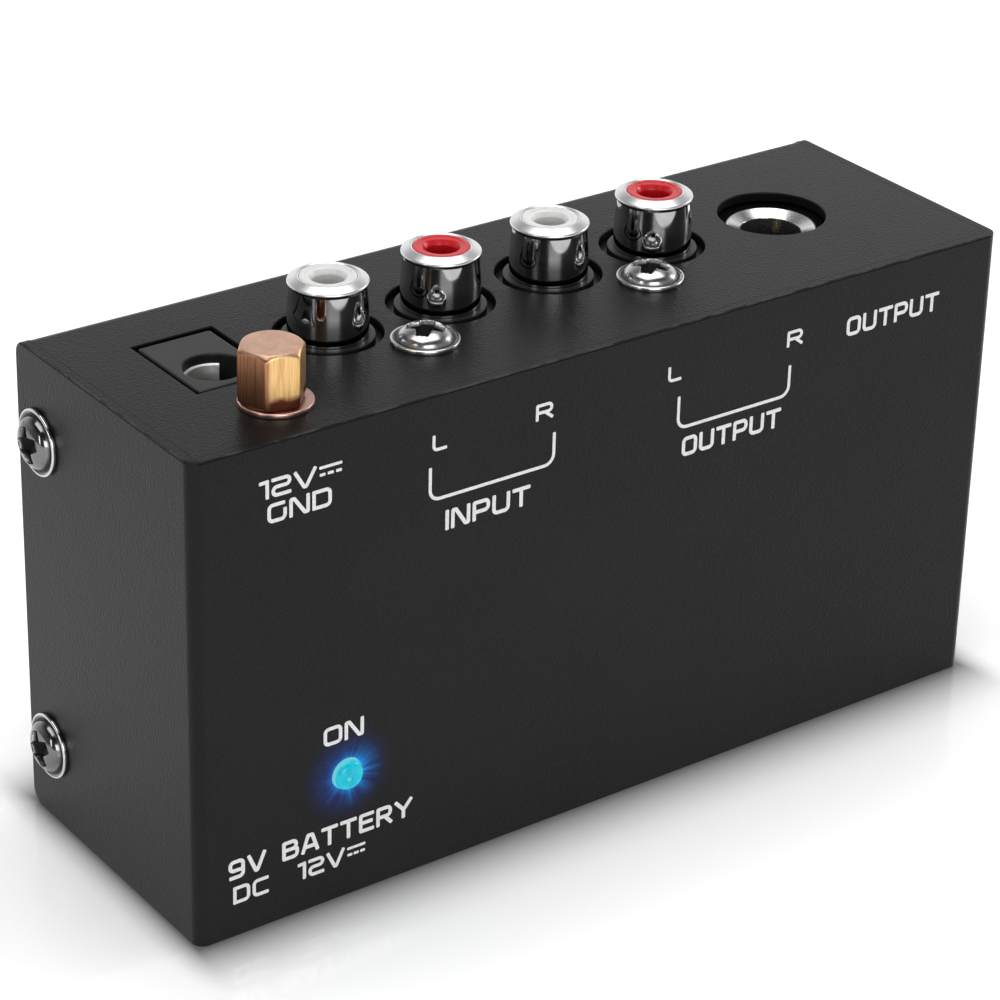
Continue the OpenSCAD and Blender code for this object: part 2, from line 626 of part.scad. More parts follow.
chip_pitch = 2.54;
can_pitch = 2.5;                             // distance between a capacitor's two leads
can_d = [5, 6.3];                            // diameters of the small and the large capacitors
can_h = [9, 11];
can_gap = 0.6;
chip_at = [(column_left - board_l / 2) / 2, strip_z - 7];
resistor_d = 2.2;
resistor_l = 6.2;
chip_body = [9.6, 6.4, 3.3];
lamp_resistor = [led_x - 3.2, led_z - 2.8];
chip_resistor = [chip_at[0], chip_at[1] - 5.4];
left_caps = [for (i = [0, 1])                // halfway between the two resistors of the left leg
             [(i + 0.5) * can_d[0] + (i + 1) * can_gap - board_l / 2,
              (lamp_resistor[1] + chip_resistor[1]) / 2]];
cap_top = phone_top - phone_len - can_d[1] / 2 - can_gap;
cap_count = floor((cap_top - standoff_z - can_d[1] + can_gap) / (can_d[1] + can_gap)) + 1;
right_caps = [for (i = [0:cap_count - 1])
              [board_l / 2 - can_d[1] / 2 - can_gap, cap_top - i * (can_d[1] + can_gap)]];
film_x = block_x;
row_step = (film_x[1] - film_x[0]) / 3;
resistor_at = concat([for (k = [-1, 1, 2, 4]) [film_x[0] + k * row_step, part_row_z]],
                     [lamp_resistor, chip_resistor]);
regulator_at = [column_right + 8, board_low + 8];
diode_at = [(column_right + standoff_x - board_screw_flange / 2) / 2, board_low + 3];

// Bridge-shaped board: a strip behind the sockets and a leg on each side of the battery tray
module circuit_board() color([0.1, 0.3, 0.16]) difference() {
    translate([0, board_back, 0]) rotate([90, 0, 0]) linear_extrude(board_t) difference() {
        translate([-board_l / 2, board_low]) square([board_l, board_top - board_low]);
        translate([column_left, board_low - 1]) square([column_right - column_left, strip_z - board_low + 1]);
    }
    for (s = [-1, 1], z = end_screw_z) translate([s * case_l / 2, board_y + board_t / 2, z])
        cube([2 * (screw_len + 1), board_t + 1, screw_shank_d + 2], center = true);
    for (x = rca_x) board_hole([x, case_h - shell_root - 0.4 - tail_t / 2]);
    board_hole([dc_x, dc_top - dc_len - 0.5 - tail_t / 2], 2.4);
    for (s = [-1, 1]) board_hole([led_x, led_z + s * led_pitch / 2]);
    for (s = [-1, 1]) board_hole([s * standoff_x, standoff_z], board_screw_d + 2 * fit);
    for (p = concat(left_caps, right_caps), s = [-1, 1]) board_hole([p[0], p[1] + s * can_pitch / 2]);
}

module board_hole(p, d = hole_d) y_rod(p[0], p[1], d, board_y - 1, board_back + 1);

// Two spacers pressed into the underside, tapped for the board's screws
module standoffs() color([0.78, 0.66, 0.36]) for (s = [-1, 1]) difference() {
    union() {
        y_rod(s * standoff_x, standoff_z, standoff_d, board_back, under_in);
        y_rod(s * standoff_x, standoff_z, standoff_stem, under_in - e, under);
    }
    y_rod(s * standoff_x, standoff_z, board_screw_d + 2 * fit, board_back - 1, under_in - 1);
}

module board_screws() color([0.6, 0.6, 0.62]) for (s = [-1, 1])
    on_board([s * standoff_x, standoff_z]) flanged_screw(board_screw_len, board_screw_d, board_screw_flange,
                                                   board_screw_head);

// Eight-legged chip with a notch at its first leg
module amplifier_chip() color([0.09, 0.09, 0.1]) on_board(chip_at) {
    difference() {
        translate([-chip_body[0] / 2, -chip_body[1] / 2, 0.5]) cube(chip_body);
        translate([-chip_body[0] / 2, 0, chip_body[2]]) cylinder(d = 1.8, h = 1);
    }
    for (i = [0:3], s = [0, 1]) mirror([0, s, 0]) translate([(i - 1.5) * chip_pitch - 0.3, 0, 0]) {
        translate([0, chip_body[1] / 2 + 0.46, 0]) cube([0.6, 0.3, 2.2]);
        translate([0, chip_body[1] / 2 - 0.1, 1.9]) cube([0.6, 0.86, 0.3]);
    }
}

// Can with a rolled groove and two leads
module can(d, h) {
    difference() {
        cylinder(d = d, h = h);
        translate([0, 0, 1.2]) rotate_extrude() translate([d / 2 + 0.15, 0]) circle(0.4, $fn = 24);
        translate([-d, -0.15, h - 0.2]) cube([2 * d, 0.3, 1]);
    }
    for (s = [-1, 1]) translate([0, s * can_pitch / 2, -board_t - lead_out])
        cylinder(d = lead_d, h = board_t + lead_out + e);
}

module electrolytic_caps() color([0.15, 0.18, 0.35]) {
    for (p = left_caps) on_board(p) can(can_d[0], can_h[0]);
    for (p = right_caps) on_board(p) can(can_d[1], can_h[1]);
}

module film_caps() color([0.55, 0.15, 0.12]) for (x = film_x) on_board([x, part_row_z])
    translate([-3.6, -1.25, 0]) cube([7.2, 2.5, 6.5]);

// Body lying along X with a square leg at each end
module axial_part(body_d, body_l, leg, above) {
    translate([-body_l / 2, 0, above]) rotate([0, 90, 0]) cylinder(d = body_d, h = body_l);
    for (s = [-1, 1]) translate([s * (body_l / 2 + leg / 2 - e) - leg / 2, -leg / 2, 0])
        cube([leg, leg, above + leg / 2]);
}

module resistors() color([0.55, 0.68, 0.75])
    for (p = resistor_at) on_board(p) axial_part(resistor_d, resistor_l, 0.6, resistor_d / 2 + 0.15);

module regulator() color([0.09, 0.09, 0.1]) on_board(regulator_at) {
    translate([0, 0, 2]) intersection() {
        cylinder(d = 4.8, h = 4.8);
        translate([-3, -1.3, -1]) cube([6, 4, 7]);
    }
    for (i = [-1:1]) translate([i * 1.27 - 0.25, -0.25, 0]) cube([0.5, 0.5, 2 + e]);
}

module polarity_diode() color([0.1, 0.1, 0.1]) on_board(diode_at) axial_part(2.7, 5.2, 0.8, 1.4);

// ---------------------------------------------------------------- lamp

// Round-nosed lens with a rim at its back
module lamp_lens() color([0.5, 0.85, 1]) translate([led_x, led_back, led_z]) rotate([90, 0, 0]) {
    cylinder(d = led_d, h = led_len - led_d / 2);
    translate([0, 0, led_len - led_d / 2]) sphere(d = led_d);
    cylinder(d = led_d + 2 * led_rim, h = 2 * led_rim);
}

module lamp_leads() color([0.8, 0.8, 0.8]) for (s = [-1, 1])
    translate([led_x - led_leg / 2, led_back, led_z + s * led_pitch / 2 - led_leg / 2])
        cube([led_leg, board_back + lead_out - led_back, led_leg]);

// ---------------------------------------------------------------- battery

// Open box set into the underside, with a flange that the door closes flush with
module battery_tray() color([0.1, 0.1, 0.11]) difference() {
    union() {
        tray_box(tray_l + 2 * tray_wall, tray_w + 2 * tray_wall, tray_floor - tray_wall, under + e);
        tray_box(flange_l, flange_h, under, under + flange_t);
    }
    tray_box(tray_l, tray_w, tray_floor, under + 2 * flange_t);
    translate([hinge_x - knuckle_r - loose, under, tray_z - door_w / 2 - loose])
        cube([door_l + knuckle_r + 2 * loose, 2 * flange_t, door_w + 2 * loose]);
    translate([hinge_x, hinge_y, tray_z - door_w / 2 - loose])
        cylinder(r = knuckle_r + loose, h = door_w + 2 * loose);
    translate([hinge_x, hinge_y, tray_z - door_w / 2 - pin_len - loose])
        cylinder(r = pin_r + fit, h = door_w + 2 * (pin_len + loose));
    for (z = [red_z, black_z]) translate([tray_x, 2, z]) rotate([0, 90, 0])
        cylinder(d = wire_d + 0.6, h = tray_l / 2 + tray_wall + 1);
}

// Box centred on the tray, l along X and w along Z, between two depths
module tray_box(l, w, y0, y1) translate([tray_x - l / 2, y0, tray_z - w / 2]) cube([l, y1 - y0, w]);

// Hinged door with its knuckle, two pins, ribs that hold the battery and a springy tongue
module battery_door() color([0.1, 0.1, 0.11]) {
    difference() {
        union() {
            translate([hinge_x, under, tray_z - door_w / 2]) cube([door_l, flange_t, door_w]);
            translate([hinge_x, hinge_y, tray_z - door_w / 2]) cylinder(r = knuckle_r, h = door_w);
        }
        for (i = [0:4]) translate([hinge_x + door_l - 4 - 1.6 * i, under + flange_t, tray_z])
            rotate([0, 0, 45]) cube([groove, groove, 10], center = true);
    }
    translate([hinge_x, hinge_y, tray_z - door_w / 2 - pin_len])
        cylinder(r = pin_r, h = door_w + 2 * pin_len);
    for (s = [-1, 1]) translate([battery_x0 + battery_body_l / 2 + s * battery_l / 4, under, tray_z])
        translate([-tray_wall / 2, battery_play / 2 - rib_h, -battery_w / 3])
            cube([tray_wall, rib_h - battery_play / 2 + e, battery_w * 2 / 3]);
    translate([tray_x + tray_l / 2 - tongue_gap - tongue_t, under - tongue_len, tray_z - tongue_w / 2 - 8.5])
        cube([tongue_t, tongue_len + e, tongue_w]);
}

module battery_outline() {
    r = battery_r;
    translate([r, 0]) square([battery_t - 2 * r, battery_w]);
    translate([0, r]) square([battery_t, battery_w - 2 * r]);
    for (x = [r, battery_t - r], y = [r, battery_w - r]) translate([x, y]) circle(r);
}

module battery() color([0.3, 0.32, 0.35]) translate([battery_x0, battery_y0, tray_z - battery_w / 2])
    rotate([90, 0, 90]) linear_extrude(battery_body_l) battery_outline();

// Round stud and hexagonal socket on the battery's end
module battery_terminals() color([0.75, 0.75, 0.76])
    translate([snap_x, battery_y0 + battery_t / 2, tray_z]) {
        translate([0, 0, -snap_pitch / 2]) rotate([0, 90, 0]) cylinder(d = snap_stud_d, h = snap_stud_h);
        translate([0, 0, snap_pitch / 2]) rotate([0, 90, 0]) difference() {
            cylinder(d = snap_ring_d, h = snap_stud_h, $fn = 6);
            translate([0, 0, 0.4]) cylinder(d = snap_stud_d + 0.1, h = snap_stud_h);
        }
    }

// Cap with the two mating snaps, pushed onto the battery
module snap_connector() color([0.06, 0.06, 0.06])
    translate([snap_x + snap_gap, battery_y0 + battery_t / 2, tray_z]) {
        translate([0, -snap_w / 2, -snap_l / 2]) cube([snap_t, snap_w, snap_l]);
        translate([-1.2, 0, snap_pitch / 2]) rotate([0, 90, 0]) cylinder(d = snap_stud_d - 0.4, h = 1.3);
    }

module battery_lead_red() color([0.6, 0.05, 0.05]) wire(red_route, wire_d);
module battery_lead_black() color([0.05, 0.05, 0.05]) wire(black_route, wire_d);

cover();
chassis();
end_screws();
jack_screws();
socket_block(0);  // input_block
socket_block(1);  // output_block
shell(0);  // input_left_shell
shell(1);  // input_right_shell
shell(2);  // output_left_shell
shell(3);  // output_right_shell
insulator(0, [0.85, 0.85, 0.85]);  // input_left_insulator
insulator(1, [0.8, 0.08, 0.1]);  // input_right_insulator
insulator(2, [0.85, 0.85, 0.85]);  // output_left_insulator
insulator(3, [0.8, 0.08, 0.1]);  // output_right_insulator
contact(0);  // input_left_contact
contact(1);  // input_right_contact
contact(2);  // output_left_contact
contact(3);  // output_right_contact
power_socket();
power_pin();
power_spring();
phone_socket();
phone_ring();
phone_tip_spring();
ground_stud();
ground_tag();
ground_wire();
ground_washer();
ground_nut();
circuit_board();
standoffs();
board_screws();
amplifier_chip();
electrolytic_caps();
film_caps();
resistors();
regulator();
polarity_diode();
lamp_lens();
lamp_leads();
battery_tray();
battery_door();
battery();
battery_terminals();
snap_connector();
battery_lead_red();
battery_lead_black();
feet();
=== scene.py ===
"""Looks of a small phono preamplifier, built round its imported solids."""

import json
import math
from types import SimpleNamespace

import bmesh
import bpy
import numpy as np
from bpy.props import FloatProperty, FloatVectorProperty, IntProperty, PointerProperty
from mathutils import Matrix, Vector
from mathutils.geometry import delaunay_2d_cdt


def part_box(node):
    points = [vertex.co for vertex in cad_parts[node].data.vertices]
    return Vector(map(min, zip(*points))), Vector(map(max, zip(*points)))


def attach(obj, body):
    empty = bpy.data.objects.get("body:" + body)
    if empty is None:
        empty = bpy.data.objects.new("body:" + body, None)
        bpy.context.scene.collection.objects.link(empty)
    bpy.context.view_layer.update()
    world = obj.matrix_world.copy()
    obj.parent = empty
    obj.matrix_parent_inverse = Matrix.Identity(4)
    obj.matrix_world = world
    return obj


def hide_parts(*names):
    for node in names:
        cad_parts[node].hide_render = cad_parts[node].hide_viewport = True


bl_info = {
    "name": "Phono preamplifier",
    "version": (1, 0, 0),
    "blender": (4, 5, 0),
    "location": "View3D > Sidebar > Preamplifier",
    "description": "Builds the surfaces, finishes and stage of a small phono preamplifier",
    "category": "Object",
}

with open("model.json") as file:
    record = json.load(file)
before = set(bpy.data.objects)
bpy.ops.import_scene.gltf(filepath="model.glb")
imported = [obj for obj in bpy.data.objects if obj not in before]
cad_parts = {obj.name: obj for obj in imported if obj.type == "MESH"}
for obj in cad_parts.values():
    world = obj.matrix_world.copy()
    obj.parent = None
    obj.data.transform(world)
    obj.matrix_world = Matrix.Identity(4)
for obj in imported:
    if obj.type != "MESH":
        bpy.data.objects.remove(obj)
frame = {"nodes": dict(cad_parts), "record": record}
MM = 0.001


def corners(node):
    """The lowest and highest corners of a node's box, in millimetres."""
    low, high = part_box(node)
    return np.array(low) / MM, np.array(high) / MM


def centre_of(node):
    """The middle of a node's box, in millimetres."""
    return sum(corners(node)) / 2


CASE_LOW, CASE_HIGH = corners("cover")


# ---------------------------------------------------------------- sizes and colours

def length(name, default, description):
    """A length of the object, given in millimetres and kept in metres."""
    return FloatProperty(name=name, default=default * MM, min=0.0, precision=5,
                         subtype="DISTANCE", unit="LENGTH", description=description)


def angle(name, default, description):
    """An angle, given in degrees and kept in radians."""
    return FloatProperty(name=name, default=math.radians(default), subtype="ANGLE",
                         unit="ROTATION", description=description)


def tint(name, default, description):
    """A colour of a finish, scene-linear."""
    return FloatVectorProperty(name=name, default=default, size=3, min=0.0, max=1.0,
                               subtype="COLOR", description=description)


class CaseSizes(bpy.types.PropertyGroup):
    sheet: length("Sheet", 1.0, "Thickness of the steel")
    cover_fold: length("Cover fold", 1.3, "Outer radius of the two upright folds")
    chassis_fold: length("Chassis fold", 1.8, "Outer radius of the two long folds")
    corner: length("End corner", 1.6, "Radius of the end plates' free corners")
    edge: length("Coated edge", 0.09, "Roundness of the coated free edges")
    hole_edge: length("Hole edge", 0.12, "Roundness of the coated hole edges")
    flange: length("Flange", 7.75, "How far in front of the underside the end flanges reach")
    flange_gap: length("Flange gap", 0.5, "Gap between the end flanges and the underside")
    flange_trim: length("Flange trim", 3.4, "What the end flanges leave free above and below")
    flange_corner: length("Flange corner", 0.8, "Radius of the end flanges' corners")
    flange_hole: length("Flange hole", 1.5, "Radius of the screw holes in the end flanges")
    screw_hole: length("Screw hole", 1.6, "Radius of the holes for the case screws")
    lamp_hole: length("Lamp hole", 1.74, "Radius of the hole round the lamp")
    phone_hole: length("Quarter inch hole", 5.85, "Radius of the hole over the funnel ring")
    stud_hole: length("Stud hole", 1.65, "Radius of the hole for the ground stud")
    standoff_hole: length("Standoff hole", 1.72, "Radius of the holes for the standoffs")
    standoff: length("Standoff", 2.5, "Radius of the standoffs")
    power_gap: length("Power socket gap", 0.45, "Room round the power socket in its opening")
    tray_rim: length("Tray rim", 1.65, "Width of the tray's flange outside its opening")
    closer: length("Closer", 0.045, "How much nearer to the cover the chassis's free edges lie")


class SocketSizes(bpy.types.PropertyGroup):
    shell: length("Shell", 8.2, "Outer diameter of a socket's shell")
    rise: length("Rise", 6.2, "Height of a shell above the jack panel")
    rim: length("Rim", 0.8, "Radius of the rolled rim")
    mouth: length("Mouth", 5.8, "Diameter of a shell's mouth")
    bore: length("Bore", 3.3, "Diameter of the bore for a plug's pin")
    funnel: length("Funnel", 3.9, "Diameter of the funnel above the bore")
    hole: length("Panel hole", 11.2, "Diameter of the panel hole round a socket")
    collar: length("Collar", 9.4, "Diameter of the plastic collar round a shell")
    wall: length("Wall", 0.7, "Thickness of a shell's wall")
    depth: length("Depth", 5.5, "How far a shell reaches below the jack panel")


class PowerSizes(bpy.types.PropertyGroup):
    mouth: length("Mouth", 3.05, "Radius of the round hole")
    depth: length("Depth", 10, "Depth of the round hole")
    bore: length("Bore", 1.35, "Radius of the hole round the pin, below the round hole")
    edge: length("Edge", 0.2, "Roundness of the body's edges")
    sunk: length("Sunk", 0.12, "How far the body lies below the jack panel's face")
    sleeve: length("Sleeve", 3.0, "Outer radius of the sprung sleeve")
    pin_foot: length("Pin foot", 1.25, "Radius of the pin's foot")


class TerminalSizes(bpy.types.PropertyGroup):
    flats: length("Flats", 6.0, "Width of the cap nut across its flats")
    chamfer: length("Chamfer", 0.65, "Height of the cap nut's chamfer")
    turn: angle("Turn", 48, "Turn of the cap nut at rest")
    bore: length("Bore", 1.55, "Radius of the cap nut's bore")
    cap: length("Cap", 0.9, "Thickness of the metal over the bore")
    washer_bore: length("Washer bore", 2.0, "Radius of the washer's hole")


class ScrewSizes(bpy.types.PropertyGroup):
    flange: length("Flange", 7.0, "Diameter of a screw's flange")
    head: length("Head", 5.6, "Diameter of a screw's raised head")
    height: length("Height", 1.7, "Height of a screw's whole head")
    base: length("Base", 0.5, "Height of the flange's rim")
    slot: length("Slot", 1.5, "Width of the cross recess")
    depth: length("Depth", 1.1, "Depth of the cross recess")
    shank: length("Shank", 2.9, "Diameter of the shank")


class LegendSizes(bpy.types.PropertyGroup):
    stroke: length("Stroke", 0.41, "Width of a printed stroke")
    ink: length("Ink", 0.03, "Thickness of the print")


class DoorSizes(bpy.types.PropertyGroup):
    wall: length("Wall", 1.5, "Thickness of the tray's walls")
    edge: length("Edge", 0.3, "Roundness of the moulded edges")
    groove: length("Groove", 0.5, "Depth of the finger grooves")
    pitch: length("Groove pitch", 1.6, "Distance between the grooves")
    gap: length("Gap", 0.15, "Gap round the door")
    flange: length("Flange", 1.8, "How far the tray's flange reaches beyond its walls")
    corner: length("Corner", 1.2, "Radius of the corners of the tray's flange")
    knuckle: length("Knuckle", 0.8, "Radius of the hinge's knuckle")
    pin: length("Pin", 0.5, "Radius and length of the hinge's pins")


class FinishColours(bpy.types.PropertyGroup):
    coat: tint("Powder coat", (0.0088, 0.0088, 0.009), "Textured black coat of the case")
    ink: tint("Print", (0.86, 0.86, 0.86), "Legends")
    chrome: tint("Chrome", (0.78, 0.78, 0.79), "Socket shells")
    nickel: tint("Nickel", (0.2, 0.2, 0.205), "Screws")
    nut: tint("Cap nut", (0.66, 0.43, 0.22), "Coppery brass of the cap nut")
    washer: tint("Washer", (0.72, 0.45, 0.38), "Pinkish copper of the washer")
    white: tint("White plastic", (0.78, 0.78, 0.77), "Left insulators")
    red: tint("Red plastic", (0.62, 0.012, 0.022), "Right insulators")
    black: tint("Black plastic", (0.012, 0.012, 0.013), "Moulded socket bodies")


class StageSizes(bpy.types.PropertyGroup):
    floor: length("Floor", 2500, "Radius of the floor")
    azimuth: angle("Azimuth", -36.474, "Where the camera stands round the object")
    elevation: angle("Elevation", 25.846, "How high the camera stands")
    roll: angle("Roll", 1.521, "Turn of the camera about its own axis")
    distance: length("Distance", 376.605, "From the camera to the object")
    focal: FloatProperty(name="Focal length", default=3464.1, min=100.0,
                         description="In thousandths of the picture's width")
    steps: IntProperty(name="Round steps", default=128, min=24,
                       description="Points round a turned surface")


class PreampSettings(bpy.types.PropertyGroup):
    case: PointerProperty(type=CaseSizes)
    sockets: PointerProperty(type=SocketSizes)
    power: PointerProperty(type=PowerSizes)
    terminal: PointerProperty(type=TerminalSizes)
    screws: PointerProperty(type=ScrewSizes)
    legends: PointerProperty(type=LegendSizes)
    door: PointerProperty(type=DoorSizes)
    colours: PointerProperty(type=FinishColours)
    stage: PointerProperty(type=StageSizes)


def sizes(group):
    """The lengths of one group in millimetres, and its angles as they are."""
    settings = getattr(bpy.context.scene.preamp, group)
    kinds = type(settings).bl_rna.properties
    return SimpleNamespace(**{
        key: getattr(settings, key) / (MM if kinds[key].unit == "LENGTH" else 1.0)
        for key in type(settings).__annotations__})


def colour(name):
    """One of the colours of the finishes."""
    return tuple(getattr(bpy.context.scene.preamp.colours, name))


def round_steps():
    """How many points a turned surface has round its axis."""
    return bpy.context.scene.preamp.stage.steps


# ---------------------------------------------------------------- surfaces

def grid_faces(rows, columns, start=0, wrap_rows=False):
    """Four-cornered faces between neighbouring rings of a grid."""
    r = np.arange(rows if wrap_rows else rows - 1)[:, None]
    c = np.arange(columns)[None, :]
    nr, nc = (r + 1) % rows, (c + 1) % columns
    quad = np.stack([r * columns + c, r * columns + nc, nr * columns + nc, nr * columns + c], -1)
    return quad.reshape(-1, 4) + start


def loft(rings, closed=False):
    """A surface through rings of equally many points; closed joins the last ring to the first."""
    rings = np.asarray(rings, float)
    return rings.reshape(-1, 3), grid_faces(rings.shape[0], rings.shape[1], wrap_rows=closed)


def turned(profile, centre, axis=(0, 0, 1), closed=False, steps=None):
    """A profile of (radius, height) turned about an axis: point = centre + radius times
    (cos a, sin a) across the axis + height along it, for every angle a."""
    profile = np.asarray(profile, float)
    a = np.linspace(0, 2 * np.pi, steps or round_steps(), endpoint=False)
    across, up, along = basis(axis)
    ring = np.cos(a)[:, None] * across + np.sin(a)[:, None] * up
    points = np.asarray(centre, float) + profile[:, 0, None, None] * ring[None] \
        + profile[:, 1, None, None] * along
    return loft(points, closed)


def lathe(profile, centre, axis=(0, 0, 1), arc=5, closed=True, steps=None):
    """A profile of (radius, height, roundness of this corner) turned about an axis."""
    profile = np.asarray(profile, float)
    line = rounded(profile[:, :2], profile[:, 2], arc, closed)
    return turned(line, centre, axis, closed, steps)


def capped(rings):
    """A surface through rings, closed by a fan round the middle of the first and the last."""
    rings = np.asarray(rings, float)
    first, last = (np.broadcast_to(ring.mean(0), ring.shape) for ring in (rings[0], rings[-1]))
    return loft([first, *rings, last])


def level(loop, height, axis=2):
    """A flat loop put at a height along one of the three axes."""
    return np.insert(loop, axis, height, axis=1)


def rim(radius, steps=3):
    """A quarter circle from a face to the side: how far each of its points is set in, radius
    times (1 - sin a), and how deep it lies, radius times (1 - cos a)."""
    a = np.linspace(0, np.pi / 2, steps + 1)
    return radius * (1 - np.stack([np.sin(a), np.cos(a)], 1))


def basis(axis):
    """Two directions across an axis, and the axis itself."""
    along = np.asarray(axis, float) / np.linalg.norm(axis)
    guide = np.array([1.0, 0, 0]) if abs(along[0]) < 0.9 else np.array([0, 1.0, 0])
    across = guide - guide.dot(along) * along
    across /= np.linalg.norm(across)
    return across, np.cross(along, across), along


def rounded(points, radii, steps, closed=False):
    """A polyline whose corners are arcs that touch both sides: each arc turns from one
    touching point to the other about a centre at radius / sin(half the corner's angle), and no
    arc takes more than half of a side."""
    points = np.asarray(points, float)
    radii = np.broadcast_to(radii, len(points))
    out = []
    for i, (p, r) in enumerate(zip(points, radii)):
        if r <= 0 or (not closed and i in (0, len(points) - 1)):
            out.append(p[None])
            continue
        u, v = points[i - 1] - p, points[(i + 1) % len(points)] - p
        shortest = min(np.linalg.norm(u), np.linalg.norm(v))
        u, v = u / np.linalg.norm(u), v / np.linalg.norm(v)
        corner = np.arccos(np.clip(u.dot(v), -1, 1))
        r = min(r, 0.495 * shortest * np.tan(corner / 2))
        if np.pi - corner < 1e-3:
            out.append(p[None])
            continue
        centre = p + (u + v) / np.linalg.norm(u + v) * r / np.sin(corner / 2)
        a, b = p + u * r / np.tan(corner / 2) - centre, p + v * r / np.tan(corner / 2) - centre
        turn = np.pi - corner
        s = np.linspace(0, 1, steps + 1)[:, None]
        out.append(centre + (np.sin((1 - s) * turn) * a + np.sin(s * turn) * b) / np.sin(turn))
    return np.concatenate(out)


def circle(x, y, radius, steps):
    """A clockwise loop, for a hole."""
    a = -np.linspace(0, 2 * np.pi, steps, endpoint=False)
    return np.stack([x + radius * np.cos(a), y + radius * np.sin(a)], 1)


def rectangle(x0, x1, y0, y1, radius=0.0, steps=4, clockwise=False):
    """A loop round a rectangle, with rounded corners."""
    loop = rounded([[x0, y0], [x1, y0], [x1, y1], [x0, y1]], radius, steps, closed=True)
    return loop[::-1] if clockwise else loop


def dense(loop, step):
    """A loop with further points on every side that is longer than a step."""
    ends = np.roll(loop, -1, 0)
    counts = np.maximum((np.linalg.norm(ends - loop, axis=1) / step).astype(int), 1)
    return np.concatenate([p + (q - p) * np.linspace(0, 1, count, endpoint=False)[:, None]
                           for p, q, count in zip(loop, ends, counts)])


def mitre(loop):
    """Outward directions of a loop's corners, long enough to move both sides by one."""
    side = np.roll(loop, -1, 0) - loop
    normal = np.stack([side[:, 1], -side[:, 0]], 1)
    normal /= np.linalg.norm(normal, axis=1)[:, None]
    before = np.roll(normal, 1, 0)
    return (normal + before) / (1 + (normal * before).sum(1))[:, None]


def fill(loops, lines):
    """Triangles between an outline and its holes, kept along straight fold lines."""
    points = np.concatenate(loops)
    starts = np.cumsum([0] + [len(loop) for loop in loops])
    edges = [(a + i, a + (i + 1) % (b - a))
             for a, b in zip(starts, starts[1:]) for i in range(b - a)]
    for s in lines:
        on = np.flatnonzero(np.abs(loops[0][:, 0] - s) < 1e-6)
        edges.append((int(on[0]), int(on[-1])))
    faces, ids = delaunay_2d_cdt([Vector(p) for p in points], edges, [], 0, 1e-7)[2:4]
    ids = np.array([i[0] for i in ids])
    faces = ids[np.array(faces)]
    middle = points[faces].mean(1)
    keep = inside(middle, loops[0])
    for loop in loops[1:]:
        keep &= ~inside(middle, loop)
    return faces[keep]


def inside(points, loop):
    """Which points lie inside a loop: their ray to the right crosses it an odd number of times."""
    a, b = loop[None], np.roll(loop, -1, 0)[None]
    x, y = points[:, 0, None], points[:, 1, None]
    spans = (a[..., 1] > y) != (b[..., 1] > y)
    with np.errstate(divide="ignore", invalid="ignore"):
        cross = a[..., 0] + (y - a[..., 1]) / (b[..., 1] - a[..., 1]) * (b[..., 0] - a[..., 0])
    return (spans & (x < cross)).sum(1) % 2 == 1


def sheet(place, outline, holes, thickness, edge, hole_edge=0.12, lines=()):
    """A flat blank with rounded rims, carried round its folds by place(s, t, depth).
    Each rim is a quarter circle from the outer face, then goes straight to a small bevel at the
    inner face."""
    loops, bevel, steps = [outline, *holes], 0.02, 4
    vertices, faces, outer, inner = [], [], [], []
    total = 0
    for k, loop in enumerate(loops):
        set_in, depth = np.concatenate([rim(hole_edge if k else edge, steps),
                                        [(0.0, thickness - bevel), (bevel, thickness)]]).T
        flat = loop[None] - mitre(loop)[None] * set_in[:, None, None]
        rows = np.broadcast_to(depth[:, None], flat.shape[:2])
        vertices.append(place(flat[..., 0], flat[..., 1], rows).reshape(-1, 3))
        faces += grid_faces(len(depth), len(loop), total).tolist()
        outer.append((flat[0], total + np.arange(len(loop))))
        inner.append((flat[-1], total + (len(depth) - 1) * len(loop) + np.arange(len(loop))))
        total += flat.shape[0] * flat.shape[1]
    for side, turn in ((outer, 1), (inner, -1)):
        ids = np.concatenate([i for _, i in side])
        faces += ids[fill([f for f, _ in side], lines)][:, ::turn].tolist()
    return np.concatenate(vertices), faces


def slab(low, high):
    """A box with rounded edges: each face is a flat square pushed out from a smaller box by a
    quarter circle, point = box corner set in by the radius + radius times the unit direction."""
    low, high = np.asarray(low, float), np.asarray(high, float)
    radius, steps = min(0.2, (high - low).min() / 2 - 1e-4), 3
    set_in, depth = rim(radius, steps).T
    heights = np.concatenate([low[2] + depth, high[2] - depth[::-1]])
    grow = radius - np.concatenate([set_in, set_in[::-1]])
    loop = rectangle(low[0] + radius, high[0] - radius, low[1] + radius, high[1] - radius)
    turn = np.concatenate([np.linspace(q, q + np.pi / 2, steps + 1)
                           for q in (np.pi, 1.5 * np.pi, 0, 0.5 * np.pi)])
    around = np.stack([np.cos(turn), np.sin(turn)], 1)
    return capped([level(np.repeat(loop, steps + 1, 0) + g * around, h)
                   for h, g in zip(heights, grow)])


def plate(face, back):
    """A plate between two like grids of points: both faces and the walls round their edges."""
    ids = np.arange(face[..., 0].size).reshape(face.shape[:2])
    quads = np.stack([ids[:-1, :-1], ids[1:, :-1], ids[1:, 1:], ids[:-1, 1:]], -1).reshape(-1, 4)
    edge = np.concatenate([ids[0], ids[1:, -1], ids[-1, -2::-1], ids[-2:0:-1, 0]])
    after, total = np.roll(edge, -1), ids.size
    walls = np.stack([edge, after, after + total, edge + total], 1)
    return (np.concatenate([face.reshape(-1, 3), back.reshape(-1, 3)]),
            [*quads.tolist(), *(quads[:, ::-1] + total).tolist(), *walls.tolist()])


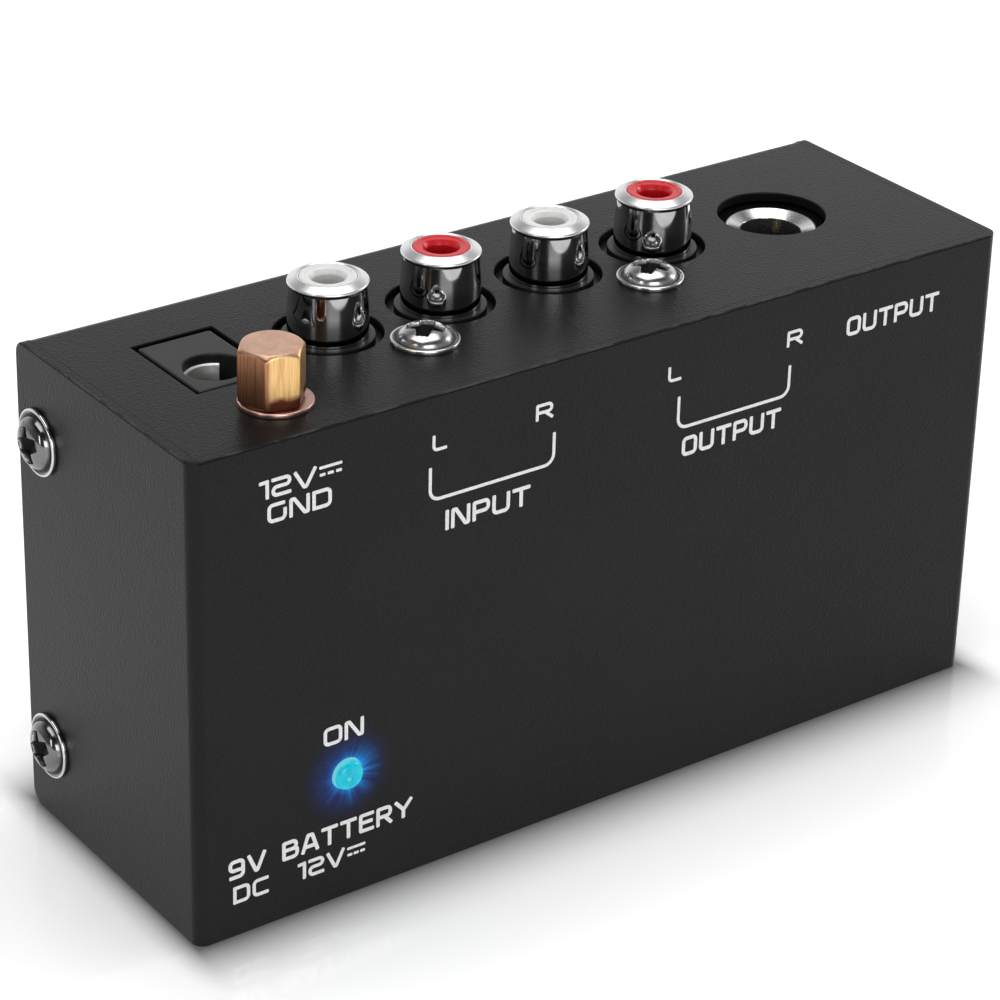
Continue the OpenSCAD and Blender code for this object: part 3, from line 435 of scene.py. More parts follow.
def stroke(path, width, place):
    """A pen stroke as a low bar along a path: four points across it on every row, two on the
    ground and two raised, set off by half the width along the mitre of the path's two sides.
    Past an open end the half width shrinks as the root of an angle's cosine while the row moves
    on by the root of its sine, which gives a square end with round corners. The bar rises
    slightly along its path, so that no two parts of it lie in one plane. place(x, z, raised)
    carries the points to the face."""
    path = np.asarray(path, float)
    closed = np.allclose(path[0], path[-1])
    if closed:
        path = path[:-1]
        before, after = path - np.roll(path, 1, 0), np.roll(path, -1, 0) - path
    else:
        side = np.diff(path, axis=0)
        before, after = np.concatenate([side[:1], side]), np.concatenate([side, side[-1:]])
    before = before / np.linalg.norm(before, axis=1)[:, None]
    after = after / np.linalg.norm(after, axis=1)[:, None]
    normal = np.stack([-(before + after)[:, 1], (before + after)[:, 0]], 1)
    normal *= width / 2 / (1 + (before * after).sum(1))[:, None]
    if not closed:
        a = np.linspace(0, np.pi / 2, 6)[1:, None]
        ahead, behind = after[-1] * width / 2, before[0] * width / 2
        on, left = np.sin(a) ** 0.5, np.maximum(np.cos(a), 0) ** 0.5
        path = np.concatenate([(path[0] - on * behind)[::-1], path, path[-1] + on * ahead])
        normal = np.concatenate([(left * normal[0])[::-1], normal, left * normal[-1]])
    across = path[:, None] + np.array([-1, -1, 1, 1])[:, None] * normal[:, None]
    raised = np.array([0.0, 1.0, 1.0, 0.0]) * (1 + 0.2 * np.linspace(0, 1, len(path)))[:, None]
    return loft(place(across[..., 0], across[..., 1], raised), closed)


def piece(name, shells, slot=None, replaces=None, body="case", material=None, sharp=35.0,
          marks=None):
    """Puts shells of (points in millimetres, faces) into one object at the origin that rides on
    a body and has its slot's finish. Doubles are merged and the faces point outwards. marks
    holds a number for every point, which the finish reads as the attribute "mark"."""
    mesh = bpy.data.meshes.new(name)
    points, faces, total = [], [], 0
    for vertices, quads in shells:
        points.append(np.asarray(vertices, float))
        faces += [tuple(int(i) + total for i in face) for face in quads]
        total += len(vertices)
    mesh.from_pydata((np.concatenate(points) * MM).tolist(), [], faces)
    if marks is not None:
        mesh.attributes.new("mark", "FLOAT", "POINT").data.foreach_set("value", marks)
    work = bmesh.new()
    work.from_mesh(mesh)
    bmesh.ops.remove_doubles(work, verts=work.verts, dist=2e-8)
    bmesh.ops.dissolve_degenerate(work, edges=work.edges, dist=2e-8)
    bmesh.ops.recalc_face_normals(work, faces=work.faces)
    work.to_mesh(mesh)
    work.free()
    mesh.shade_smooth()
    mesh.set_sharp_from_angle(angle=math.radians(sharp))
    mesh.materials.append(material or finish(slot))
    thing = bpy.data.objects.new(name, mesh)
    bpy.context.scene.collection.objects.link(thing)
    weighted = thing.modifiers.new("Flat faces stay flat", "WEIGHTED_NORMAL")
    weighted.keep_sharp = True
    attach(thing, body)
    if replaces:
        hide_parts(replaces)
    return thing


# ---------------------------------------------------------------- finishes

class Value:
    """A socket's value in a node tree, on which Python's operators add Math nodes."""

    def __init__(self, tree, socket):
        self.tree, self.socket = tree, socket

    def math(self, operation, *others, first=None):
        values = ([first] if first is not None else []) + [self, *others]
        return self.tree.add("ShaderNodeMath", {"operation": operation}, *values)

    def __add__(self, other):
        return self.math("ADD", other)

    def __sub__(self, other):
        return self.math("SUBTRACT", other)

    def __rsub__(self, other):
        return self.math("SUBTRACT", first=other)

    def __mul__(self, other):
        return self.math("MULTIPLY", other)

    def __pow__(self, other):
        return self.math("POWER", other)

    def __abs__(self):
        return self.math("ABSOLUTE")

    def above(self, low, high):
        """0 below low, 1 above high, and a straight ramp between."""
        return self.tree.add("ShaderNodeMapRange", {"clamp": True}, self, low, high, 0.0, 1.0)

    __radd__, __rmul__ = __add__, __mul__


class Tree:
    """A tree of shader nodes; the calls that add nodes return values to reckon with."""

    def __init__(self, tree):
        self.nodes, self.links = tree.nodes, tree.links

    def give(self, socket, value):
        """Links a value to a socket, or sets a number or vector on it."""
        if isinstance(value, Value):
            self.links.new(value.socket, socket)
        else:
            socket.default_value = value

    def add(self, kind, settings=None, *values, out=0, **named):
        """Any node: its type, its settings, then the values or links of its sockets."""
        node = self.nodes.new(kind)
        for key, value in (settings or {}).items():
            setattr(node, key, value)
        for key, value in [*enumerate(values), *named.items()]:
            self.give(node.inputs[key.replace("_", " ") if isinstance(key, str) else key], value)
        return Value(self, node.outputs[out])

    def place(self, stretch=(1, 1, 1), turn=(0, 0, 0), centre=(0, 0, 0)):
        """Object coordinates, moved so that centre is their origin, then turned and stretched."""
        where = self.add("ShaderNodeTexCoord", out="Object")
        if any(centre):
            where = self.vector("SUBTRACT", where, tuple(c * MM for c in centre))
        return self.add("ShaderNodeMapping", None, where, (0, 0, 0), turn, stretch)

    def around(self, *centre):
        """The way from a point, in millimetres along the three axes."""
        return self.place((1 / MM,) * 3, centre=centre or (0, 0, 0))

    def vector(self, operation, *values, out=0):
        """A sum, product or the like of vectors."""
        return self.add("ShaderNodeVectorMath", {"operation": operation}, *values, out=out)

    def size(self, vector):
        """The length of a vector."""
        return self.vector("LENGTH", vector, out="Value")

    def parts(self, vector):
        """The three numbers of a vector."""
        first = self.add("ShaderNodeSeparateXYZ", None, vector)
        return [Value(self, output) for output in first.socket.node.outputs]

    def noise(self, grain, detail=2.0, roughness=0.5, where=None):
        """Noise whose lumps are about grain millimetres wide."""
        return self.add("ShaderNodeTexNoise", None, where or self.place(), Scale=1000.0 / grain,
                        Detail=detail, Roughness=roughness)

    def cells(self, grain):
        """Distance to the middle of the nearest cell, about grain millimetres wide."""
        return self.add("ShaderNodeTexVoronoi", None, self.place(), Scale=1000.0 / grain)

    def mix(self, factor, a, b):
        """A colour between two colours."""
        a, b = [(*c, 1.0) if not isinstance(c, Value) else c for c in (a, b)]
        node = self.nodes.new("ShaderNodeMix")
        node.data_type = "RGBA"
        for index, value in ((0, factor), (6, a), (7, b)):
            self.give(node.inputs[index], value)
        return Value(self, node.outputs[2])


class Finish(Tree):
    """A material with one Principled shader, whose uniform values are set on its own sockets."""

    def __init__(self, name, **uniform):
        self.material = bpy.data.materials.new(name + "_finish")
        self.material.use_nodes = True
        super().__init__(self.material.node_tree)
        self.shader = self.nodes["Principled BSDF"]
        for key, value in uniform.items():
            socket = self.shader.inputs[key.replace("_", " ")]
            socket.default_value = (*value, 1.0) if socket.type == "RGBA" else value

    def feed(self, **sockets):
        """Links values to the shader's sockets."""
        for key, value in sockets.items():
            self.links.new(value.socket, self.shader.inputs[key.replace("_", " ")])

    def relief(self, height, depth):
        """Bump of a height between 0 and 1, depth in millimetres."""
        self.feed(Normal=self.add("ShaderNodeBump", None, Strength=1.0, Distance=depth * MM,
                                  Height=height))


def finish(slot):
    """The material made for a slot."""
    return bpy.data.materials[slot + "_finish"]


def shade(tone, factor):
    """A colour times a number."""
    return tuple(c * factor for c in tone)


INSIDE = (48.8, 15.3, 52.8)                   # inner faces of the sheets: x, y, depth from above


def powder_coat():
    """Fine textured coat: round cells of a third of a millimetre with a finer, flecked grain. The
    cover's upper rim has a painted highlight, lighter here and there, over a painted shade line,
    and the inner sides of the sheets are painted nearly black as shade. Round the lamp the coat
    has the lamp's light painted into its emission: rays, which are a noise of the direction from
    the lamp, over a wide and a narrow round glow."""
    coat, none = colour("coat"), (0.0, 0.0, 0.0)
    f = Finish("powder_coat", Base_Color=coat, Roughness=0.34, Specular_IOR_Level=0.13,
               Emission_Strength=1.0)
    grains = f.noise(0.2, 2.0, 0.6)
    lumps = f.cells(0.28) * 0.5 + grains * 0.5
    cloud = f.noise(14.0, 2.0)
    f.relief(lumps, 0.042)

    x, y, z = f.parts(f.around(0, 0, CASE_HIGH[2]))
    depth = z * -1.0
    border = (abs(x) - CASE_HIGH[0]).above(-0.2, -0.06).math(
        "MAXIMUM", (y * -1.0 + CASE_LOW[1]).above(-0.2, -0.06))
    # Painted highlight: the cover's upper rim is made lighter here and there.
    painted_light = border * (1.0 - depth.above(0.06, 0.2)) * f.noise(2.5, 2.0, 0.6).above(0.42, 0.62)
    # Painted shade: a fine dark line on the cover just below its upper rim.
    painted_shade_line = border * depth.above(0.12, 0.18) * (1.0 - depth.above(0.26, 0.32))
    # Painted shade: the inner sides of the sheets are made nearly black.
    painted_inner_shade = depth.above(0.1, 0.2)
    for value, limit in zip((abs(x), abs(y), depth), INSIDE):
        painted_inner_shade *= 1.0 - value.above(limit, limit + 0.1)
    # dark joins the two painted shades: the line under the rim and the inner sides.
    dark = painted_shade_line.math("MAXIMUM", painted_inner_shade)
    tone = f.mix(cloud.above(0.3, 0.7), shade(coat, 0.84), shade(coat, 1.06))
    tone = f.mix(grains.above(0.56, 0.7) * 0.4, tone, shade(coat, 3.0))

    # Painted light: the lamp's rays and glow are painted into the coat's emission.
    lamp_x, _, lamp_z = centre_of("lamp_lens")
    around = f.around(lamp_x, CASE_LOW[1], lamp_z)
    away, ray = f.size(around), f.vector("NORMALIZE", around)
    aim = f.parts(ray)
    rays = f.add("ShaderNodeTexNoise", None, ray, Scale=5.0, Detail=2.0).above(0.36, 0.66) \
        * (0.25 + (aim[0] * 0.8 - aim[2] * 0.3).above(-0.5, 0.7) * 0.75)
    near, far, ring = [1.0 - away.above(1.65, reach) for reach in (4.6, 5.9, 2.7)]
    glow = f.vector("ADD", f.mix(near * near * rays, none, (0.0, 0.24, 0.62)), f.vector(
        "ADD", f.mix(far * far, none, (0.001, 0.014, 0.15)),
        f.mix(ring * ring, none, (0.0, 0.11, 0.26))))
    f.feed(Roughness=0.24 + cloud * 0.05 + lumps * 0.12 + dark * 0.5, Emission_Color=glow,
           Base_Color=f.mix(dark, f.mix(painted_light * 0.7, tone, (0.07,) * 3), (0.0012,) * 3))


def print_ink():
    """Screen print: pale ink that takes on the coat's grain."""
    f = Finish("print_ink", Base_Color=colour("ink"), Roughness=0.5)
    lumps = f.noise(0.3, 2.0)
    f.relief(lumps, 0.02)
    f.feed(Base_Color=f.mix(lumps.above(0.3, 0.62), shade(colour("ink"), 0.86), colour("ink")))


def plated(name, base, roughness, smudge=0.06):
    """Plated metal: faintly uneven, with a soft change of tone and gloss."""
    f = Finish(name, Base_Color=base, Roughness=roughness, Metallic=1.0)
    haze = f.noise(1.6, 3.0)
    f.feed(Roughness=roughness - smudge / 2 + haze * smudge,
           Base_Color=f.mix(f.noise(0.5, 2.0).above(0.35, 0.75), base, shade(base, 0.9)))
    f.relief(f.noise(1.1, 1.0) * 0.5, 0.004)


def screw_plating():
    """Plating of the screws, with a painted highlight on the flange's rim and painted shade down in
    the cross recess and in the groove round the head; the screws of the jack panel are painted
    brighter, as lit from above."""
    nickel = colour("nickel")
    f = Finish("screw_metal", Base_Color=nickel, Roughness=0.14, Metallic=1.0)
    mark = f.add("ShaderNodeAttribute", {"attribute_name": "mark"}, out="Fac")
    # Painted shade in the recess and the groove, painted highlight on the flange's rim.
    deep, rim = mark.above(0.02, 0.45), mark.above(-0.2, -0.9)
    spots = f.noise(0.5, 2.0)
    # Painted light: the jack panel's screws are made brighter.
    upper = f.parts(f.around(0, 0, CASE_HIGH[2]))[2].above(0.0, 0.1)
    plate = f.mix(spots.above(0.35, 0.75), nickel, shade(nickel, 0.88))
    plate = f.mix(upper, plate, (0.5, 0.5, 0.51))
    f.feed(Base_Color=f.mix(rim, f.mix(deep, plate, (0.01,) * 3), (0.62, 0.62, 0.63)),
           Roughness=0.11 + spots * 0.06 + upper * 0.1 + deep * 0.4)
    f.relief(f.noise(1.1, 1.0), 0.003)


def shell_chrome():
    """Chrome of the sockets: polished on the wall, whose tone is painted down to about half as a
    dark reflection, and satin at nearly full tone on the rolled rim.
    """
    chrome, s = colour("chrome"), sizes("sockets")
    f = Finish("chrome_shell", Base_Color=chrome, Roughness=0.08, Metallic=1.0)
    satin = f.parts(f.around(0, 0, CASE_HIGH[2] + s.rise - s.rim))[2].above(-0.1, 0.25)
    haze = f.noise(0.9, 2.0)
    # Painted dark reflection: the wall's tone is about half the chrome's.
    wall = f.mix(haze.above(0.35, 0.7), shade(chrome, 0.56), shade(chrome, 0.48))
    f.feed(Roughness=(0.03 + haze * 0.05) * (1.0 - satin) + satin * 0.34,
           Base_Color=f.mix(satin, wall, shade(chrome, 0.98)))
    f.relief(f.noise(1.6, 1.0), 0.002)


def nut_metal():
    """Coppery brass of the cap nut: upright machining lines, one flat painted browner than the
    others as shade, a foot painted dark as shade and a top painted paler and pinkish as lit."""
    low, high = corners("ground_nut")
    f = Finish("nut_brass", Base_Color=colour("nut"), Roughness=0.32, Metallic=1.0)
    x, y, z = f.parts(f.around(*centre_of("ground_nut")[:2], low[2]))
    lines = f.noise(0.16, 2.0, 0.6, where=f.place(stretch=(1, 1, 0.04)))
    cloud = f.noise(1.3, 3.0, 0.6)
    height = z * (1 / (high[2] - low[2]))
    turn = sizes("terminal").turn + math.radians(150)
    # Painted shade: one flat of the nut is made browner.
    painted_light = (x * math.cos(turn) + y * math.sin(turn)).above(2.5, 2.8)
    gold = f.mix(lines.above(0.4, 0.66), (0.8, 0.53, 0.24), (0.6, 0.34, 0.13))
    brown = f.mix(lines.above(0.4, 0.68), (0.42, 0.2, 0.105), (0.24, 0.1, 0.05))
    # Painted shade: the nut's foot is made dark.
    foot = 1.0 - (height + cloud * 0.16).above(0.24, 0.34)
    side = f.mix(painted_light, f.mix(foot, gold, (0.15, 0.045, 0.022)), brown)
    # Painted light: the nut's top is made paler and pinkish.
    top = f.mix(height.above(0.94, 0.99), side,
                f.mix(cloud.above(0.3, 0.7), (0.74, 0.49, 0.36), (0.62, 0.39, 0.28)))
    f.feed(Base_Color=top, Roughness=0.28 + cloud * 0.2 + height.above(0.96, 1.0) * 0.12)
    f.relief(lines * 0.7 + f.noise(0.2, 2.0) * 0.5, 0.012)


def moulded(name, base, roughness, grain, depth, glow=0.0, shine=0.5):
    """Moulded plastic: a slight skin texture and faint cloudiness."""
    f = Finish(name, Base_Color=base, Roughness=roughness, Subsurface_Weight=glow,
               Specular_IOR_Level=shine, Subsurface_Radius=(1.0, 0.6, 0.5),
               Subsurface_Scale=0.8 * MM)
    cloud = f.noise(3.0, 2.0)
    f.relief(f.noise(grain, 2.0), depth)
    f.feed(Roughness=roughness - 0.05 + cloud * 0.1,
           Base_Color=f.mix(cloud.above(0.3, 0.7), shade(base, 0.92), base))


def banded(name, base, mark, axis, width):
    """Lacquer with printed bands across one axis."""
    f = Finish(name, Base_Color=base, Roughness=0.35)
    wave = f.parts(f.around())[axis].math("PINGPONG", width)
    f.feed(Base_Color=f.mix(wave.above(0.78 * width, 0.82 * width), base, mark))
    f.relief(f.noise(0.4, 2.0), 0.01)


def solder_mask():
    """Green mask over copper: cells of slightly different height and tone, like traces."""
    f = Finish("board_green", Base_Color=(0.02, 0.13, 0.05), Roughness=0.3)
    trace = f.add("ShaderNodeTexBrick", None, f.place(turn=(math.radians(90), 0, 0)),
                  (0, 0, 0, 1), (0.1, 0.1, 0.1, 1), (1, 1, 1, 1), 420.0, Mortar_Size=0.06)
    level = f.add("ShaderNodeSeparateXYZ", None, trace)
    f.feed(Base_Color=f.mix(level, (0.015, 0.11, 0.045), (0.03, 0.2, 0.08)))
    f.relief(level, 0.03)


def battery_jacket():
    """Plain metal jacket: a dark body and a lighter band at one end, with fine brushing."""
    low, high = corners("battery")
    f = Finish("battery_case", Base_Color=(0.12, 0.13, 0.15), Roughness=0.32, Metallic=0.6)
    along = f.parts(f.around(*low))[0] * (1 / (high[0] - low[0]))
    brush = f.noise(0.08, 1.0, where=f.place(stretch=(0.03, 1, 1)))
    f.feed(Base_Color=f.mix(along.above(0.66, 0.665), (0.06, 0.065, 0.075), (0.42, 0.43, 0.45)),
           Roughness=0.26 + brush * 0.16)
    f.relief(brush, 0.004)


def lamp_lens():
    """Lit clear lens: cyan at the front, paler on its side, with a painted pale glint on the front.
    """
    f = Finish("lamp_blue", Base_Color=(0.0, 0.05, 0.07), Roughness=0.16, Emission_Strength=1.0,
               Specular_IOR_Level=0.25)
    lamp_x, _, lamp_z = centre_of("lamp_lens")
    x, y, z = f.parts(f.around(lamp_x, corners("lamp_lens")[0][1], lamp_z))
    wall = y.above(0.9, 1.05)
    # Painted glint: a pale spot a little left of and below the middle of the lens.
    across = f.add("ShaderNodeCombineXYZ", None, x + 0.35, 0.0, z + 0.1)
    painted_glint = 1.0 - f.size(across).above(0.12, 0.3)
    face = f.mix(f.noise(0.9, 2.0).above(0.35, 0.65), (0.003, 0.4, 0.54), (0.012, 0.52, 0.64))
    face = f.mix(painted_glint * 0.6, face, (0.2, 0.72, 0.78))
    f.feed(Emission_Color=f.mix(wall, face, (0.16, 0.56, 0.64)))
    f.relief(f.noise(0.6, 2.0), 0.02)


def rubber():
    """Dull black rubber with a coarse skin."""
    f = Finish("foot_rubber", Base_Color=(0.014, 0.014, 0.014), Roughness=0.72)
    f.relief(f.noise(0.25, 3.0, 0.6), 0.03)
    f.feed(Roughness=0.66 + f.noise(2.0) * 0.14)


def insulation(name, base):
    """Soft wire insulation with a faint waxy bloom."""
    f = Finish(name, Base_Color=base, Roughness=0.38)
    bloom = f.noise(1.2, 3.0)
    f.feed(Roughness=0.3 + bloom * 0.2,
           Base_Color=f.mix(bloom.above(0.4, 0.7), base, shade(base, 0.8)))
    f.relief(f.noise(0.3, 2.0), 0.008)


# ---------------------------------------------------------------- operators

class PREAMP_OT_finishes(bpy.types.Operator):
    """Give every carried-over solid the finish of its material slot"""
    bl_idname = "preamp.finishes"
    bl_label = "Finishes"

    def execute(self, context):
        black, white, red = colour("black"), colour("white"), colour("red")
        for make in (powder_coat, screw_plating, shell_chrome, nut_metal, battery_jacket,
                     solder_mask, lamp_lens, rubber, print_ink):
            make()
        plated("bright_metal", (0.82, 0.82, 0.82), 0.22)
        plated("contact_brass", (0.74, 0.56, 0.26), 0.24)
        plated("copper_washer", colour("washer"), 0.3, smudge=0.12)
        moulded("black_plastic", black, 0.34, 0.3, 0.01, shine=0.28)
        # Painted shade: a nearly black plastic for the quarter inch socket's body.
        moulded("hollow_plastic", shade(black, 0.1), 0.8, 0.3, 0.01, shine=0.05)
        moulded("white_insulator", white, 0.32, 0.5, 0.004, glow=0.6)
        moulded("red_insulator", red, 0.28, 0.5, 0.004, glow=0.4)
        moulded("tray_plastic", (0.015, 0.015, 0.016), 0.5, 0.35, 0.04)
        moulded("film_red", (0.3, 0.035, 0.02), 0.25, 0.6, 0.02)
        banded("cap_sleeve", (0.015, 0.02, 0.09), (0.3, 0.32, 0.36), 0, 3.4)
        banded("resistor_blue", (0.2, 0.38, 0.48), (0.2, 0.05, 0.02), 0, 0.8)
        insulation("green_wire", (0.02, 0.16, 0.05))
        insulation("red_wire", (0.45, 0.012, 0.015))
        insulation("black_wire", (0.012, 0.012, 0.012))
        slots = {part["node"]: part["material_slot"] for part in frame["record"]["subparts"]}
        for node, thing in frame["nodes"].items():
            thing.data.materials.clear()
            thing.data.materials.append(finish(slots[node]))
        # Painted shade: the quarter inch socket's body, seen down its hole.
        frame["nodes"]["phone_socket"].data.materials[0] = finish("hollow_plastic")
        return {"FINISHED"}


class PREAMP_OT_case(bpy.types.Operator):
    """Build the folded cover and the folded chassis"""
    bl_idname = "preamp.case"
    bl_label = "Case"

    def execute(self, context):
        c = sizes("case")
        self.cover(c)
        self.chassis(c)
        return {"FINISHED"}

    def cover(self, c):
        """The lettered face and the two end plates, with the end screws' and the lamp's holes."""
        front, back, top = CASE_LOW[1], CASE_HIGH[1], CASE_HIGH[2]
        half = CASE_HIGH[0] - c.cover_fold

        def on_cover(s, z, depth):
            """Along the face, round a fold, then straight along an end plate."""
            x, fall = folded(np.abs(s), half, c.cover_fold, depth)
            return np.stack([np.sign(s) * x, front + fall, z], -1)

        bend = half + c.cover_fold * np.pi / 2
        reach = bend + back - front - c.cover_fold
        folds = fold_lines(half, c.cover_fold)
        blank = [*strip(reach, 0, folds), *strip(reach, top, folds)[::-1]]
        radii = [c.corner if abs(abs(s) - reach) < 1e-9 else 0 for s, _ in blank]
        end_y, end_z = end_screws()
        holes = [circle(side * (bend + end_y - front - c.cover_fold), z, c.screw_hole, 32)
                 for side in (-1, 1) for z in end_z]
        x, _, z = centre_of("lamp_leads")
        holes.append(circle(x, z, c.lamp_hole, 48))
        blank = rounded(blank, radii, 8, closed=True)
        piece("case_cover", [sheet(on_cover, blank, holes, c.sheet, c.edge, c.hole_edge, folds)],
              "powder_coat", "cover")

    def chassis(self, c):
        """The jack panel, the underside and the resting side, with their holes and flanges."""
        back, top = CASE_HIGH[1], CASE_HIGH[2]
        low, high = corners("chassis")
        low, high = low - (c.closer, c.closer, 0), high + (c.closer, 0, 0)
        middle, rise = top / 2, top / 2 - c.chassis_fold
        turn = c.chassis_fold * np.pi / 2

        def on_chassis(s, x, depth):
            """Up the underside, round a fold, then forward along the jack panel."""
            z, fall = folded(np.abs(s), rise, c.chassis_fold, depth)
            return np.stack([x, high[1] - fall, middle + np.sign(s) * z], -1)

        def panel(y):
            """How far along the blank a depth of the jack panel lies."""
            return rise + turn + high[1] - c.chassis_fold - y

        folds = fold_lines(rise, c.chassis_fold)
        reach = panel(low[1])
        blank = np.array([*strip(reach, low[0], folds), *strip(reach, high[0], folds)[::-1]])
        holes = [circle(panel(y), x, radius, 96 if radius > 3 else 32)
                 for x, y, radius in panel_holes()]
        (x0, y0, _), (x1, y1, _) = corners("power_socket")
        holes.append(rectangle(panel(y1 + c.power_gap), panel(y0 - c.power_gap),
                               x0 - c.power_gap, x1 + c.power_gap, clockwise=True))
        (x0, _, z0), (x1, _, z1) = corners("battery_tray")
        holes.append(rectangle(z0 + c.tray_rim - middle, z1 - c.tray_rim - middle,
                               x0 + c.tray_rim, x1 - c.tray_rim, clockwise=True))
        (x0, _, z0), (x1, _, z1) = corners("standoffs")
        holes += [circle((z0 + z1) / 2 - middle, x, c.standoff_hole, 32)
                  for x in (x0 + c.standoff, x1 - c.standoff)]
        hidden, tab_edge = 0.02, 0.1          # roundness of edges that the cover hides
        shells = [sheet(on_chassis, blank, holes, c.sheet, hidden, c.hole_edge, folds)]
        tab = rectangle(back - c.flange, back - c.flange_gap, c.flange_trim, top - c.flange_trim,
                        c.flange_corner)
        end_y, end_z = end_screws()
        tab_holes = [circle(end_y, z, c.flange_hole, 32) for z in end_z]
        for side in (-1, 1):
            def on_flange(y, z, depth):
                """Flat behind an end plate."""
                return np.stack([side * (high[0] - depth), y, z], -1)

            shells.append(sheet(on_flange, tab, tab_holes, c.sheet, tab_edge))
        piece("case_chassis", shells, "powder_coat", "chassis")


def folded(s, flat, radius, depth):
    """The run of a sheet past a fold: straight up to flat, round a quarter circle, then straight
    across. Gives how far it has gone and how far it has fallen from the outer face."""
    a = np.clip((s - flat) / radius, 0, np.pi / 2)
    past = np.maximum(s - flat - radius * np.pi / 2, 0)
    inner = radius - depth
    return np.minimum(s, flat) + inner * np.sin(a), radius - inner * np.cos(a) + past


def fold_lines(flat, radius):
    """Where a blank is divided so that it bends round its two folds."""
    steps = 8
    return sorted(side * (flat + radius * np.pi / 2 * k / steps)
                  for side in (-1, 1) for k in range(steps + 1))


def strip(reach, at, folds):
    """One long side of a blank, with its fold points."""
    return [[s, at] for s in (-reach, *folds, reach)]


def end_screws():
    """Depth and heights of the end screws."""
    low, high = corners("end_screws")
    half = sizes("screws").flange / 2
    return centre_of("end_screws")[1], (low[2] + half, high[2] - half)


def jack_screws():
    """Places of the two screws on the jack panel."""
    low, high = corners("jack_screws")
    half, y = sizes("screws").flange / 2, centre_of("jack_screws")[1]
    return [(low[0] + half, y), (high[0] - half, y)]


def axis_of(node):
    """Middle of a node's box across the jack panel."""
    return tuple(centre_of(node)[:2])


SOCKETS = ("input_left", "input_right", "output_left", "output_right")


def panel_holes():
    """Round holes of the jack panel: x, y and radius."""
    c, radius = sizes("case"), sizes("sockets").hole / 2
    return [*((*axis_of(name + "_shell"), radius) for name in SOCKETS),
            *((x, y, c.screw_hole) for x, y in jack_screws()),
            (*axis_of("phone_ring"), c.phone_hole), (*axis_of("ground_nut"), c.stud_hole)]


class PREAMP_OT_sockets(bpy.types.Operator):
    """Build the shells, insulators and collars of the four round sockets"""
    bl_idname = "preamp.sockets"
    bl_label = "Round sockets"

    def execute(self, context):
        s = sizes("sockets")
        wall, mouth, bore = s.shell / 2, s.mouth / 2, s.bore / 2
        inner, foot, rim_foot = wall - s.wall, wall - 0.3, s.rise - s.rim
        lip, seat, edge = s.rise - 0.75, s.rise - 0.18, s.rise - 0.1
        shell = ((inner, -s.depth, 0), (foot, -s.depth, 0), (foot, -0.6, 0),
                 (wall - 0.02, -0.4, 0.1), (wall, 2.4, 14), (wall - 0.24, rim_foot - 0.2, 0.2),
                 (wall, rim_foot + 0.04, 0.2), (wall - 0.02, rim_foot + 0.3, 0.3),
                 (wall - 0.98, s.rise, 0.35), (mouth, s.rise - 0.16, 0.12), (mouth, lip, 0),
                 (inner, lip, 0))
        fit = 0.03                            # room between the insulator and the shell
        wide, narrow, step = inner - fit, mouth - fit, s.rise - 0.8
        insulator = ((bore + 0.35, -4.8, 0), (wide, -4.8, 0), (wide, step, 0),
                     (narrow, step, 0), (narrow, edge, 0.1), (mouth - 0.4, edge, 0.04),
                     (mouth - 0.46, seat, 0.04), (s.funnel / 2, seat, 0.2), (bore, lip, 0.2),
                     (bore, 2.4, 0), (bore + 0.35, 2.4, 0))
        collar_wall = s.collar / 2 + 0.02
        collar = ((wall - 0.2, -1.1, 0), (collar_wall, -1.1, 0), (collar_wall, -0.13, 0.22),
                  (wall + 0.12, -0.13, 0.06), (wall - 0.02, -0.35, 0))
        for name in SOCKETS:
            at = (*axis_of(name + "_shell"), CASE_HIGH[2])
            hue = "white_insulator" if name.endswith("left") else "red_insulator"
            piece(name + "_rolled_shell", [lathe(shell, at, arc=8)], "chrome_shell",
                  name + "_shell")
            piece(name + "_funnel", [lathe(insulator, at, steps=96)], hue, name + "_insulator")
            piece(name + "_collar", [lathe(collar, at)], "black_plastic")
        return {"FINISHED"}


